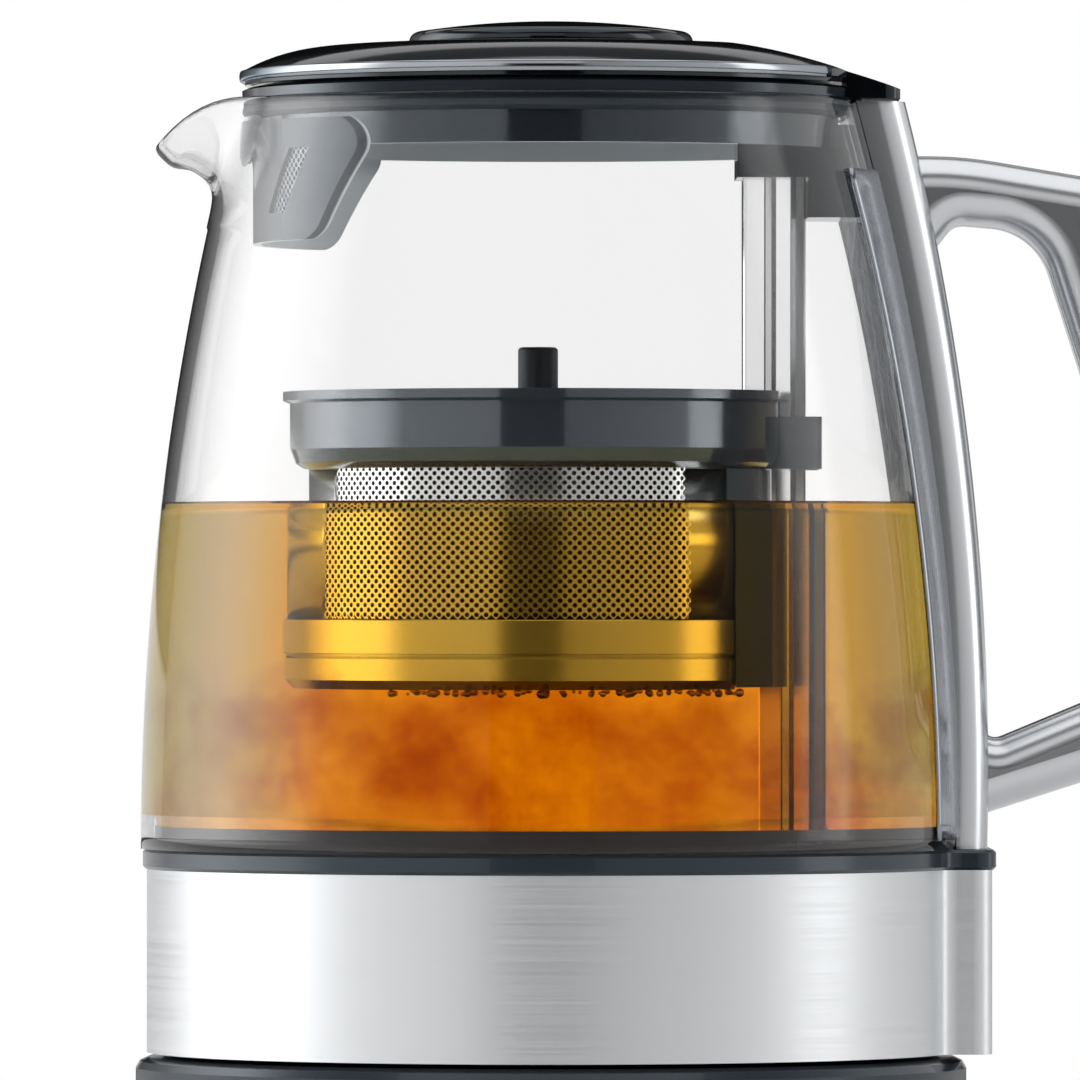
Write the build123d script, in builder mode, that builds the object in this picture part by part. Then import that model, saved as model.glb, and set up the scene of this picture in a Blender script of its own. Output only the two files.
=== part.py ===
"""Automatic tea maker: glass jug with a motor-driven tea basket on a corded power base.

Millimetres, +Z up. The origin is on the jug's axis, on the worktop. The spout points
to -X, the handle to +X and the control panel to -Y.
"""
from build123d import *
from math import sqrt
import os

os.makedirs("parts", exist_ok=True)

# ---- clearances ----
loose = 0.3      # between two bodies that are lifted apart
slip = 0.1       # between two pieces of one body that are pushed together
running = 0.06   # radial clearance of a shaft in its bore

# ---- levels, from the worktop up ----
base_top_z = 56.5
jug_bottom_z = base_top_z + loose
collar_z = 94.0
glass_foot_z = collar_z + 4.0
plate_top_z = glass_foot_z + 2.6
glass_h = 148.6
glass_rim_z = glass_foot_z + glass_h
lid_seat_z = glass_rim_z + loose

# ---- glass jug ----
glass_foot_r = 82.0
glass_bow_r = 580.0
glass_wall = 2.6
spout_tip_x = 78.8
spout_tip_z = glass_rim_z - 9.6

# ---- jug body ----
collar_r = glass_foot_r - 0.4
collar_nose_x = collar_r + 6.8
band_r = collar_r - 0.8
band_nose_x = collar_nose_x - 0.8
nose_half = 22.0
strap_half = 16.0
strap_round = 5.8
handle_half = 10.5
handle_round = 6.4

# ---- lift post ----
post_x = 44.5
post_w = 12.4
post_d = 16.0
post_wall = 0.8
post_top_z = lid_seat_z - 15.3
screw_r = 2.5
screw_pitch = 4.0

# ---- tea basket ----
basket_x = -2.6
lip_r = 51.0
lip_top_z = 189.0
rim_r = lip_r - 1.4
rim_bottom_z = lip_top_z - 15.4
sleeve_r = 45.8
basket_bottom_z = 129.6
notch_x = 34.3
notch_half = 12.3
rim_flat_x = 45.0
column_r = sleeve_r + 1.2
fork_x = 53.8

# ---- lid ----
lid_r = 62.0
lid_crown_z = lid_seat_z + 12.5
lid_crown_r = 700.0
lid_roof_z = lid_seat_z + 6.9
lid_edge_z = lid_seat_z + 3.4
lid_tail_x = lid_r + 7.4
lid_tail_half = 20.0
skirt_r = lid_r - 4.0
skirt_bottom_z = lid_seat_z - 9.9
flap_r = skirt_r + 1.6
flap_bottom_z = lid_seat_z - 28.4
grip_r = 28.4
grip_top_z = lid_crown_z + 3.8

# ---- power base ----
base_r = 83.0
base_skirt_z = 8.0
stub_r = 14.0
stub_top_z = 66.0
console_half_angle = 50.0
console_z0 = 9.0
console_z1 = 49.0
panel_r = base_r + 0.4
panel_wall = 2.4
button_face_r = panel_r + 1.0
button_flange_r = panel_r - panel_wall - 0.8
button_back_r = button_flange_r - 1.8
switch_back_r = button_back_r - 5.4
round_button_r = 6.5
round_button_z = 29.0
round_button_angles = (-36.0, 36.0)
slot_button_w = 12.0
slot_button_h = 6.5
slot_button_z = 15.5
slot_button_angles = (-37.5, -22.5, -7.5, 7.5, 22.5, 37.5)
window_half_angle = 19.0
window_z0 = 23.5
window_z1 = 46.0
boss_r = 4.5
boss_circle_r = 52.0
tray_floor_z = 4.9
board_z = 6.0
power_board_y = 30.0
control_board_y = -44.0
control_board_w = 60.0
carrier_r = switch_back_r - 2.4
carrier_half_angle = 46.0
carrier_z0 = 10.0


def save(piece, label):
    """Name a finished piece and write its STEP file."""
    piece.part.label = label
    export_step(piece.part, f"parts/{label}.step")


def glass_radius(z, inset=0.0):
    """Radius of the jug's bowed wall at a height, or of a wall inset from it."""
    drop = z - glass_foot_z
    return glass_foot_r - glass_bow_r + sqrt((glass_bow_r - inset) ** 2 - drop**2)


def bowed_solid(inset, z0, z1):
    """Solid of revolution that fills the jug's wall, inset by a distance."""
    with BuildPart() as solid:
        with BuildSketch(Plane.XZ):
            with BuildLine():
                foot = (glass_radius(z0, inset), z0)
                middle = (glass_radius((z0 + z1) / 2, inset), (z0 + z1) / 2)
                rim = (glass_radius(z1, inset), z1)
                ThreePointArc(foot, middle, rim)
                Polyline(rim, (0, z1), (0, z0), foot)
            make_face()
        revolve(axis=Axis.Z)
    return solid.part


def keyhole(radius, nose_x, z0, z1, half=nose_half, blend=3.8):
    """Block with a keyhole outline: a circle with a blended nose towards the handle."""
    with BuildPart() as block:
        with BuildSketch(Plane.XY.offset(z0)):
            Circle(radius)
            Rectangle(nose_x, 2 * half, align=(Align.MIN, Align.CENTER))
        extrude(amount=z1 - z0)
        fillet(block.edges().filter_by(Axis.Z).filter_by(lambda e: abs(e.center().Y) > 1), blend)
    return block.part


def turned(points, axis_x=0.0):
    """Ring or disc turned from a radius and height outline about a vertical axis."""
    seat = Plane(origin=(axis_x, 0, 0), x_dir=(1, 0, 0), z_dir=(0, -1, 0))
    with BuildPart() as ring:
        with BuildSketch(seat):
            with BuildLine():
                Polyline(points, close=True)
            make_face()
        revolve(axis=Axis((axis_x, 0, 0), (0, 0, 1)))
    return ring.part


def hoop(r_in, r_out, z0, z1, axis_x=0.0):
    """Plain ring between two radii and two heights."""
    return turned([(r_in, z0), (r_out, z0), (r_out, z1), (r_in, z1)], axis_x)


def arc_band(r_in, r_out, half_angle, z):
    """Flat slice of a ring that faces the front, at a height."""
    with BuildSketch(Plane.XY.offset(z)) as band:
        with BuildLine():
            outer = CenterArc((0, 0), r_out, -90 - half_angle, 2 * half_angle)
            inner = CenterArc((0, 0), r_in, -90 - half_angle, 2 * half_angle)
            Line(outer @ 0, inner @ 0)
            Line(outer @ 1, inner @ 1)
        make_face()
    return band.sketch


def front_plane(angle, radius, z):
    """Plane square to a radius of the front panel; its normal points outwards."""
    turn = Plane.XY.rotated((0, 0, angle))
    return Plane(
        origin=turn.from_local_coords((0, -radius, z)),
        x_dir=turn.from_local_coords((1, 0, 0)),
        z_dir=turn.from_local_coords((0, -1, 0)),
    )


def notch_tool(x0, half=60.0):
    """Block that cuts the handle side off a basket piece, over all its height."""
    with BuildPart() as block:
        with Locations((x0, 0, basket_bottom_z - 5)):
            Box(40, 2 * half, lip_top_z - basket_bottom_z + 10, align=(Align.MIN, Align.CENTER, Align.MIN))
    return block.part


# ==== jug: glass, seal and heated floor ====

# The pulled lip is a loft of rounded wedges that leave the round wall below the rim.
def lip_section(z, reach, half, inset):
    """Wedge outline of the lip at a height, narrowed and shortened by an inset."""
    nose = 5.5 - inset / 2
    root_x = sqrt(glass_radius(z) ** 2 - half**2) - 1.3
    with BuildSketch(Plane.XY.offset(z)) as wedge:
        with BuildLine():
            Line((-root_x, -half + inset), (-root_x, half - inset))
            CenterArc((-reach + inset + nose, 0), nose, 90, 180)
            Line((-root_x + 6 * inset, -half / 2), (-root_x + 6 * inset, half / 2))
        make_hull()
    return wedge.sketch


# Height and reach of each wedge are counted from the spout's tip, then its half width.
lip_steps = ((-9.5, -11.2, 8.0), (-4.0, -6.8, 13.0), (-1.0, -0.6, 17.0), (12.0, 0.8, 22.0))
spout_channel_lift = 2.4
spout_wall = 2.2

with BuildPart() as glass_jug:
    add(bowed_solid(0, glass_foot_z, glass_rim_z))
    loft([lip_section(spout_tip_z + rise, spout_tip_x + more, half, 0) for rise, more, half in lip_steps])
    add(bowed_solid(glass_wall, glass_foot_z - 1, glass_rim_z + 1), mode=Mode.SUBTRACT)
    loft(
        [
            lip_section(spout_tip_z + rise + spout_channel_lift, spout_tip_x + more, half, spout_wall)
            for rise, more, half in lip_steps
        ],
        mode=Mode.SUBTRACT,
    )
    with BuildSketch(Plane.XZ):
        with BuildLine():
            rim_point = (-glass_radius(glass_rim_z), glass_rim_z)
            tip = (-spout_tip_x, spout_tip_z)
            lip_edge = ThreePointArc(rim_point, (4.2 - spout_tip_x, spout_tip_z + 5.4), tip)
            far_x = -spout_tip_x - 10
            far_z = glass_rim_z + 10
            Polyline(tip, (far_x, spout_tip_z), (far_x, far_z), (-50, far_z), (-50, glass_rim_z), rim_point)
        make_face()
    extrude(amount=30, both=True, mode=Mode.SUBTRACT)
save(glass_jug, "glass_jug")

with BuildPart() as glass_seal:
    seal_out = glass_foot_r - glass_wall - slip
    add(
        turned(
            [
                (77.1, glass_foot_z),
                (seal_out, glass_foot_z),
                (seal_out - 0.1, 102.6),
                (78.2, 102.6),
                (77.1, 101.6),
            ]
        )
    )
save(glass_seal, "glass_seal")

with BuildPart() as collar_ring:
    add(keyhole(collar_r, collar_nose_x, collar_z, glass_foot_z))
    with Locations((0, 0, collar_z)):
        Cylinder(76.2, 10, mode=Mode.SUBTRACT)
    edges_out = collar_ring.edges().group_by(Axis.Z)[0] + collar_ring.edges().group_by(Axis.Z)[-1]
    chamfer(edges_out.filter_by(lambda e: e.bounding_box().max.X > 78), 0.6)
save(collar_ring, "collar_ring")

with BuildPart() as jug_steel_band:
    add(keyhole(band_r, band_nose_x, jug_bottom_z + 0.6, collar_z))
    add(
        keyhole(band_r - 1, band_nose_x - 1, jug_bottom_z, collar_z + 1, nose_half - 1, 3.6),
        mode=Mode.SUBTRACT,
    )
save(jug_steel_band, "jug_steel_band")

socket_r = stub_r + 2.0
with BuildPart() as jug_underside:
    under_r = band_r - 1 - slip
    add(
        turned(
            [
                (socket_r, jug_bottom_z),
                (under_r - 2, jug_bottom_z),
                (under_r, jug_bottom_z + 2),
                (under_r, collar_z - slip),
                (under_r - 2, collar_z - slip),
                (under_r - 2, jug_bottom_z + 3),
                (socket_r + 2, jug_bottom_z + 3),
                (socket_r + 2, 71.5),
                (10, 71.5),
                (10, 69.5),
                (socket_r, 69.5),
            ]
        )
    )
    with Locations((post_x, 0, jug_bottom_z + 3)):
        Cylinder(11, 4, align=(Align.CENTER, Align.CENTER, Align.MIN))
        Cylinder(9.2, 4, align=(Align.CENTER, Align.CENTER, Align.MIN), mode=Mode.SUBTRACT)
save(jug_underside, "jug_underside")

with BuildPart() as heater_plate:
    add(
        turned(
            [
                (0, 99.1),
                (75.6, 99.1),
                (75.6, glass_foot_z),
                (77.0, glass_foot_z),
                (77.0, plate_top_z - 0.6),
                (76.4, plate_top_z),
                (0, plate_top_z),
            ]
        )
    )
    with Locations((post_x, 0, plate_top_z)):
        Hole(3.2)
save(heater_plate, "heater_plate")

# A sheathed element bent to an open ring and brazed under the plate.
element_ring_r = 30.0
element_r = 4.0
with BuildPart() as heating_element:
    with BuildLine() as element_path:
        bend = CenterArc((0, 0, 95.0), element_ring_r, 30, 300)
    with BuildSketch(Plane(origin=bend @ 0, z_dir=bend % 0)):
        Circle(element_r)
    sweep()
    with Locations(bend @ 0, bend @ 1):
        Cylinder(1.6, 12, align=(Align.CENTER, Align.CENTER, Align.MAX))
save(heating_element, "heating_element")

with BuildPart() as temperature_sensor:
    with Locations((0, 0, 99.0)):
        Cylinder(6, 3, align=(Align.CENTER, Align.CENTER, Align.MAX))
        Cylinder(3.5, 12, align=(Align.CENTER, Align.CENTER, Align.MAX))
save(temperature_sensor, "temperature_sensor")

with BuildPart() as jug_connector:
    with Locations((0, 0, 71.5)):
        Cylinder(15, 4, align=(Align.CENTER, Align.CENTER, Align.MIN))
        Cylinder(1.6, 10.5, align=(Align.CENTER, Align.CENTER, Align.MAX))
        Cylinder(8.2, 10.5, align=(Align.CENTER, Align.CENTER, Align.MAX))
        Cylinder(7.0, 10.5, align=(Align.CENTER, Align.CENTER, Align.MAX), mode=Mode.SUBTRACT)
        Cylinder(1.6, 10.5, align=(Align.CENTER, Align.CENTER, Align.MAX))
save(jug_connector, "jug_connector")

# ==== jug: lift post and drive ====

with BuildPart() as post_tube:
    with BuildSketch(Plane.XY.offset(plate_top_z)):
        with Locations((post_x, 0)):
            RectangleRounded(post_w, post_d, 4.5)
            RectangleRounded(post_w - 2 * post_wall, post_d - 2 * post_wall, 3.7, mode=Mode.SUBTRACT)
    extrude(amount=post_top_z - plate_top_z)
    with BuildSketch(Plane.XY.offset(plate_top_z)):
        with Locations((post_x, -post_d / 2), (post_x, post_d / 2)):
            Rectangle(0.9, 0.8)
    extrude(amount=post_top_z - plate_top_z, mode=Mode.SUBTRACT)
save(post_tube, "post_tube")

cap_z0 = post_top_z - 8.0
cap_z1 = lid_seat_z - 4.9
cap_half = 12.0
with BuildPart() as post_cap:
    with BuildSketch(Plane.XZ):
        with BuildLine():
            Polyline(
                (37, post_top_z),
                (post_x + post_w / 2 + loose, post_top_z),
                (post_x + post_w / 2 + loose, cap_z0),
                (70, cap_z0),
                (70, cap_z1),
                (39, cap_z1),
                (37, cap_z1 - 2),
                close=True,
            )
        make_face()
    extrude(amount=cap_half, both=True)
    add(bowed_solid(glass_wall + loose, cap_z0 - 10, cap_z1 + 3), mode=Mode.INTERSECT)
save(post_cap, "post_cap")

motor_r = 9.0
with BuildPart() as lift_motor:
    with Locations((post_x, 0, jug_bottom_z + 3.2)):
        Cylinder(motor_r, 24, align=(Align.CENTER, Align.CENTER, Align.MIN))
        Cylinder(7.0, 32, align=(Align.CENTER, Align.CENTER, Align.MIN))
        Cylinder(1.5, 38, align=(Align.CENTER, Align.CENTER, Align.MIN))
save(lift_motor, "lift_motor")

screw_z0 = 98.6
screw_z1 = 227.0
thread_z0 = 106.0
thread_count = 29
with BuildPart() as lead_screw:
    with Locations((post_x, 0, screw_z0)):
        Cylinder(screw_r, screw_z1 - screw_z0, align=(Align.CENTER, Align.CENTER, Align.MIN))
    groove = turned([(screw_r - 0.6, 0.5), (screw_r + 1, -0.3), (screw_r + 1, 1.3)], post_x)
    for turn in range(thread_count):
        add(groove.moved(Location((0, 0, thread_z0 + screw_pitch * turn))), mode=Mode.SUBTRACT)
save(lead_screw, "lead_screw")

carriage_z0 = 170.0
carriage_h = 16.0
with BuildPart() as magnet_carriage:
    with Locations((post_x, 0, carriage_z0)):
        Box(9.6, 13.2, carriage_h, align=(Align.CENTER, Align.CENTER, Align.MIN))
    fillet(magnet_carriage.edges().filter_by(Axis.Z), 3)
    with Locations((post_x, 0, carriage_z0 + carriage_h)):
        Hole(screw_r + running)
save(magnet_carriage, "magnet_carriage")

# ==== jug: spine strap and handle ====


def strap_profile():
    """Side outline of the strap and of the jug behind it, back to the lift post."""
    with BuildSketch(Plane.XZ) as side:
        with BuildLine():
            foot = (glass_foot_r + 4.9, glass_foot_z + slip)
            middle = (glass_foot_r + 2.4, glass_foot_z + 69.6)
            top = (glass_foot_r - 11.5, glass_rim_z + 0.2)
            ThreePointArc(foot, middle, top)
            Polyline(top, (40, glass_rim_z + 0.2), (40, glass_foot_z + slip), foot)
        make_face()
    return side.sketch


arm_screw_zs = (glass_foot_z + 15.0, glass_rim_z - 17.6)
arm_screw_r = 2.0
with BuildPart() as spine_strap:
    extrude(strap_profile(), amount=strap_half, both=True)
    long_edges = spine_strap.edges().filter_by(GeomType.CIRCLE).filter_by(lambda e: e.length > glass_h)
    fillet(long_edges, strap_round)
    add(bowed_solid(-slip, glass_foot_z - 2, 252), mode=Mode.SUBTRACT)
    for z in arm_screw_zs:
        with Locations(Plane(origin=(glass_radius(z), 0, z), z_dir=(-1, 0, 0))):
            CounterBoreHole(arm_screw_r + slip, 3.8, 3.2, depth=20)
save(spine_strap, "spine_strap")

# The outline runs over the top arm, down the grip and back along the hand opening.
with BuildPart() as handle:
    with BuildSketch(Plane.XZ):
        with BuildLine():
            FilletPolyline(
                (45, 236.2),
                (82, 236.2),
                (138, 226.8),
                (134, 120.2),
                (76, 101.6),
                (76, 126.0),
                (88.8, 119.9),
                (113.2, 130.0),
                (112.5, 172),
                (96.8, 221.2),
                (80.6, 222.6),
                (66, 204),
                (45, 204),
                radius=[0, 80, 28, 25, 0, 0, 3, 10, 50, 13, 4, 0, 0],
                close=True,
            )
        make_face()
    extrude(amount=handle_half, both=True)
    rounded = handle.edges().filter_by(lambda e: abs(abs(e.center().Y) - handle_half) < 0.01)
    fillet(rounded, handle_round)
    extrude(strap_profile(), amount=30, both=True, mode=Mode.SUBTRACT)
    for z in arm_screw_zs:
        with Locations(Plane(origin=(glass_radius(z), 0, z), z_dir=(-1, 0, 0))):
            Hole(arm_screw_r + slip / 2, depth=22)
save(handle, "handle")

with BuildPart() as handle_screws:
    for z in arm_screw_zs:
        with Locations(Plane(origin=(glass_radius(z) + 1.3, 0, z), z_dir=(1, 0, 0))):
            Cylinder(3.4, 1.8, align=(Align.CENTER, Align.CENTER, Align.MIN))
            Cylinder(arm_screw_r, 18, align=(Align.CENTER, Align.CENTER, Align.MIN))
save(handle_screws, "handle_screws")

# ==== lid ====

skirt_top_z = lid_seat_z + 2.8
lid_boss_r = 3.5
lid_boss_circle_r = 38.0
lid_screw_r = 1.4


def crown_arc(apex_z, radius, reach):
    """Half of a shallow spherical crown, from its apex on the axis outwards."""
    sink_half = radius - sqrt(radius**2 - (reach / 2) ** 2)
    sink = radius - sqrt(radius**2 - reach**2)
    return ThreePointArc((0, apex_z), (reach / 2, apex_z - sink_half), (reach, apex_z - sink))


# A flat crown with a round shoulder; towards the handle it slopes down into a tail.
with BuildPart() as lid_dome:
    with BuildSketch(Plane.XZ):
        with BuildLine():
            crown = crown_arc(lid_crown_z, lid_crown_r, lid_r - 16)
            shoulder = TangentArc(crown @ 1, (lid_r - 0.3, lid_edge_z + 2.9), tangent=crown % 1)
            Polyline(shoulder @ 1, (lid_r, lid_edge_z + 2.6), (lid_r, lid_edge_z + 1.1))
            Polyline((lid_r, lid_edge_z + 1.1), (lid_r - 0.8, lid_edge_z + 0.9), (lid_r - 0.8, lid_edge_z))
            Polyline((lid_r - 0.8, lid_edge_z), (lid_r - 2.6, lid_edge_z), (lid_r - 16, lid_roof_z))
            Polyline((lid_r - 16, lid_roof_z), (0, lid_roof_z), crown @ 0)
        make_face()
    revolve(axis=Axis.Z)
    with BuildSketch(Plane.XZ.offset(-lid_tail_half)):
        with Locations((lid_r - 6, lid_edge_z)):
            Rectangle(lid_tail_x - lid_r + 6, 4, align=(Align.MIN, Align.MIN))
        with Locations((lid_r - 6, lid_seat_z + loose)):
            Rectangle(lid_tail_x - lid_r + 6, 4, align=(Align.MIN, Align.MIN))
    extrude(amount=2 * lid_tail_half)
    with Locations((0, 0, lid_edge_z)):
        Cylinder(lid_r - slip, 6, align=(Align.CENTER, Align.CENTER, Align.MAX), mode=Mode.SUBTRACT)
    with BuildSketch(Plane.XZ):
        with BuildLine():
            slope = ThreePointArc(
                (grip_r - 2.4, lid_crown_z - 0.4),
                (50, lid_crown_z - 4.5),
                (lid_tail_x + 2, lid_crown_z - 11.1),
            )
            Polyline(slope @ 1, (lid_tail_x + 2, lid_crown_z + 2), (grip_r - 2.4, lid_crown_z + 2), slope @ 0)
        make_face()
    extrude(amount=lid_r + 2, both=True, mode=Mode.SUBTRACT)
    tail_corners = lid_dome.edges().filter_by(Axis.Z).filter_by(lambda e: e.center().X > lid_tail_x - 0.1)
    fillet(tail_corners, 3)
    with PolarLocations(lid_boss_circle_r, 3, start_angle=60):
        with Locations((0, 0, skirt_top_z + slip)):
            Cylinder(lid_boss_r, 6, align=(Align.CENTER, Align.CENTER, Align.MIN))
            Cylinder(lid_screw_r + slip, 6, align=(Align.CENTER, Align.CENTER, Align.MIN), mode=Mode.SUBTRACT)
save(lid_dome, "lid_dome")

with BuildPart() as lid_grip:
    with BuildSketch(Plane.XZ):
        with BuildLine():
            cap = crown_arc(grip_top_z, 175.0, grip_r - 2.0)
            edge = ThreePointArc(cap @ 1, (grip_r - 0.3, lid_crown_z + 0.8), (grip_r, lid_crown_z - 0.4))
            seat = crown_arc(lid_crown_z + 0.05, lid_crown_r, grip_r - 1.0)
            Line(edge @ 1, seat @ 1)
            Line(seat @ 0, cap @ 0)
        make_face()
    revolve(axis=Axis.Z)
save(lid_grip, "lid_grip")

with BuildPart() as lid_skirt:
    add(
        turned(
            [
                (0, lid_seat_z + 0.8),
                (skirt_r - 2, lid_seat_z + 0.8),
                (skirt_r - 2, skirt_bottom_z),
                (skirt_r, skirt_bottom_z),
                (skirt_r, lid_seat_z),
                (lid_r - 0.4, lid_seat_z),
                (lid_r - 0.2, skirt_top_z - 0.5),
                (lid_r - 1.2, skirt_top_z),
                (0, skirt_top_z),
            ]
        )
    )
    with Locations((36, 0, skirt_bottom_z - 1)):
        Box(40, 26, 7.5, align=(Align.MIN, Align.CENTER, Align.MIN), mode=Mode.SUBTRACT)
    with PolarLocations(lid_boss_circle_r, 3, start_angle=60):
        with Locations((0, 0, skirt_top_z)):
            Hole(lid_screw_r + slip)
save(lid_skirt, "lid_skirt")

with BuildPart() as lid_screws:
    with PolarLocations(lid_boss_circle_r, 3, start_angle=60):
        with Locations((0, 0, lid_seat_z + 0.7)):
            Cylinder(2.8, 1.6, align=(Align.CENTER, Align.CENTER, Align.MAX))
            Cylinder(lid_screw_r, 7, align=(Align.CENTER, Align.CENTER, Align.MIN))
            Cylinder(lid_screw_r, 1, align=(Align.CENTER, Align.CENTER, Align.MAX))
save(lid_screws, "lid_screws")

seal_z = lid_seat_z - 3.5
seal_lip_r = skirt_r + 1.8
with BuildPart() as lid_seal:
    add(
        turned(
            [
                (skirt_r, seal_z),
                (skirt_r + 1, seal_z),
                (seal_lip_r, seal_z + 0.8),
                (seal_lip_r, seal_z + 2.0),
                (skirt_r + 1, seal_z + 2.8),
                (skirt_r, seal_z + 2.8),
            ]
        )
    )
save(lid_seal, "lid_seal")

flap_top_z = seal_z - 1.0
window_z_low = flap_bottom_z + 5.5
window_z_high = flap_bottom_z + 18.1
window_corners = ((31.0, window_z_high), (36.8, window_z_high), (29.0, window_z_low), (22.0, window_z_low))


def flap_window(side, shrink, depth_from, depth_to):
    """Slanted window block through one side of the spout filter flap."""
    with BuildPart() as block:
        with BuildSketch(Plane.YZ.offset(-depth_to)) as outline:
            with BuildLine():
                Polyline([(side * y, z) for y, z in window_corners], close=True)
            make_face()
            offset(amount=-shrink, kind=Kind.INTERSECTION)
        extrude(outline.sketch, amount=depth_to - depth_from)
    return block.part


with BuildPart() as spout_filter:
    add(hoop(skirt_r, flap_r, flap_bottom_z, flap_top_z))
    with BuildSketch(Plane.YZ.offset(-70)) as flap_side:
        with BuildLine():
            low_z = flap_bottom_z - 0.1
            Polyline((-50, flap_top_z + 1), (-37.4, low_z), (37.4, low_z), (50, flap_top_z + 1), close=True)
        make_face()
        low = flap_side.vertices().group_by(Axis.Z)[0]
        fillet(low, 6)
    extrude(amount=62, mode=Mode.INTERSECT)
    add(flap_window(1, 0, 40, 66), mode=Mode.SUBTRACT)
    add(flap_window(-1, 0, 40, 66), mode=Mode.SUBTRACT)
save(spout_filter, "spout_filter")

with BuildPart() as filter_mesh:
    add(hoop(skirt_r + 0.6, skirt_r + 1.0, window_z_low - 1, window_z_high + 1))
    add(flap_window(1, 0.05, 40, 66) + flap_window(-1, 0.05, 40, 66), mode=Mode.INTERSECT)
save(filter_mesh, "filter_mesh")

# ==== tea basket ====

with BuildPart() as basket_rim:
    add(
        turned(
            [
                (47.4, lip_top_z),
                (lip_r, lip_top_z),
                (lip_r, lip_top_z - 1.8),
                (rim_r, lip_top_z - 2.4),
                (rim_r, rim_bottom_z + 3.9),
                (rim_r - 1, rim_bottom_z + 1.2),
                (rim_r - 3, rim_bottom_z),
                (sleeve_r + slip, rim_bottom_z),
                (sleeve_r + slip, lip_top_z - 2.8),
                (47.4, lip_top_z - 2.8),
            ],
            basket_x,
        )
    )
    add(notch_tool(notch_x, notch_half), mode=Mode.SUBTRACT)
    add(notch_tool(rim_flat_x), mode=Mode.SUBTRACT)
save(basket_rim, "basket_rim")

sleeve_wall = 0.6
sleeve_bottom_z = basket_bottom_z + 11.6
sleeve_top_z = lip_top_z - 3.4
with BuildPart() as basket_sleeve:
    add(hoop(sleeve_r - sleeve_wall, sleeve_r, sleeve_bottom_z, sleeve_top_z, basket_x))
    add(notch_tool(notch_x), mode=Mode.SUBTRACT)
save(basket_sleeve, "basket_sleeve")

pan_r = sleeve_r + 0.8
pan_in_r = sleeve_r - 0.8
with BuildPart() as basket_base:
    add(
        turned(
            [
                (pan_r - 4.6, basket_bottom_z),
                (pan_r - 2.0, basket_bottom_z),
                (pan_r - 0.4, basket_bottom_z + 1.8),
                (pan_r - 0.4, basket_bottom_z + 6.0),
                (pan_r - 0.8, basket_bottom_z + 6.5),
                (pan_r, basket_bottom_z + 7.1),
                (pan_r, basket_bottom_z + 13.6),
                (sleeve_r + slip, basket_bottom_z + 13.6),
                (sleeve_r + slip, sleeve_bottom_z - slip),
                (pan_in_r, sleeve_bottom_z - slip),
                (pan_in_r, basket_bottom_z + 2.2),
                (pan_in_r - 1, basket_bottom_z + 0.8),
                (pan_r - 4.6, basket_bottom_z + 0.8),
            ],
            basket_x,
        )
    )
    add(notch_tool(notch_x), mode=Mode.SUBTRACT)
save(basket_base, "basket_base")

with BuildPart() as basket_floor:
    with Locations((basket_x, 0, basket_bottom_z + 0.8)):
        Cylinder(pan_in_r - 1 - slip, 0.6, align=(Align.CENTER, Align.CENTER, Align.MIN))
    add(notch_tool(notch_x), mode=Mode.SUBTRACT)
save(basket_floor, "basket_floor")

slot_half = post_d / 2 + 0.5
web_x = post_x - post_w / 2 - 0.6
clip_x = notch_x + loose


def column_outline(radius):
    """Plan of the basket's closed column: the circle's part on the handle side."""
    with BuildSketch() as plan:
        with Locations((basket_x, 0)):
            Circle(radius)
        with Locations((clip_x, 0)):
            Rectangle(40, 120, align=(Align.MIN, Align.CENTER), mode=Mode.INTERSECT)
    return plan.sketch


# A column in the basket's cut side slides on the post; a fork at its top goes round it.
with BuildPart() as basket_clip:
    with BuildSketch(Plane.XY.offset(basket_bottom_z + 0.4)):
        add(column_outline(column_r))
    extrude(amount=rim_bottom_z - basket_bottom_z - 0.6)
    with BuildSketch(Plane.XY.offset(rim_bottom_z - 0.2)):
        add(column_outline(sleeve_r - slip))
    extrude(amount=lip_top_z - rim_bottom_z - 3.0)
    with Locations((clip_x, 0, rim_bottom_z)):
        Box(10.4, 2 * notch_half - 0.6, 13.4, align=(Align.MIN, Align.CENTER, Align.MIN))
        Box(fork_x - clip_x, 2 * notch_half - 0.6, 10.4, align=(Align.MIN, Align.CENTER, Align.MIN))
    fork_ends = basket_clip.edges().filter_by(Axis.Z).filter_by(lambda e: e.center().X > fork_x - 0.1)
    fillet(fork_ends, 1.6)
    with Locations((web_x, 0, basket_bottom_z - 5)):
        Box(30, 2 * slot_half, 80, align=(Align.MIN, Align.CENTER, Align.MIN), mode=Mode.SUBTRACT)
    magnet_plane = Plane(origin=(clip_x, 0, rim_bottom_z + 5.4), z_dir=(-1, 0, 0))
    with BuildSketch(magnet_plane):
        Rectangle(9, 11)
    extrude(amount=-2.0, mode=Mode.SUBTRACT)
save(basket_clip, "basket_clip")

with BuildPart() as basket_magnet:
    with BuildSketch(magnet_plane):
        Rectangle(8.8, 10.8)
    extrude(amount=-1.9)
save(basket_magnet, "basket_magnet")

lid_disc_z = lip_top_z - 2.5
lid_disc_r = 47.0
with BuildPart() as basket_lid:
    with Locations((basket_x, 0, lid_disc_z)):
        Cylinder(lid_disc_r, 2, align=(Align.CENTER, Align.CENTER, Align.MIN))
    chamfer(basket_lid.edges().group_by(Axis.Z)[-1], 0.5)
    add(notch_tool(notch_x - slip, notch_half + slip), mode=Mode.SUBTRACT)
save(basket_lid, "basket_lid")

with BuildPart() as basket_lid_knob:
    with Locations((basket_x, 0, lid_disc_z + 2.0)):
        Cylinder(4.0, 9.5, align=(Align.CENTER, Align.CENTER, Align.MIN))
    fillet(basket_lid_knob.edges().group_by(Axis.Z)[-1], 0.8)
save(basket_lid_knob, "basket_lid_knob")

# ==== power base ====

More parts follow.
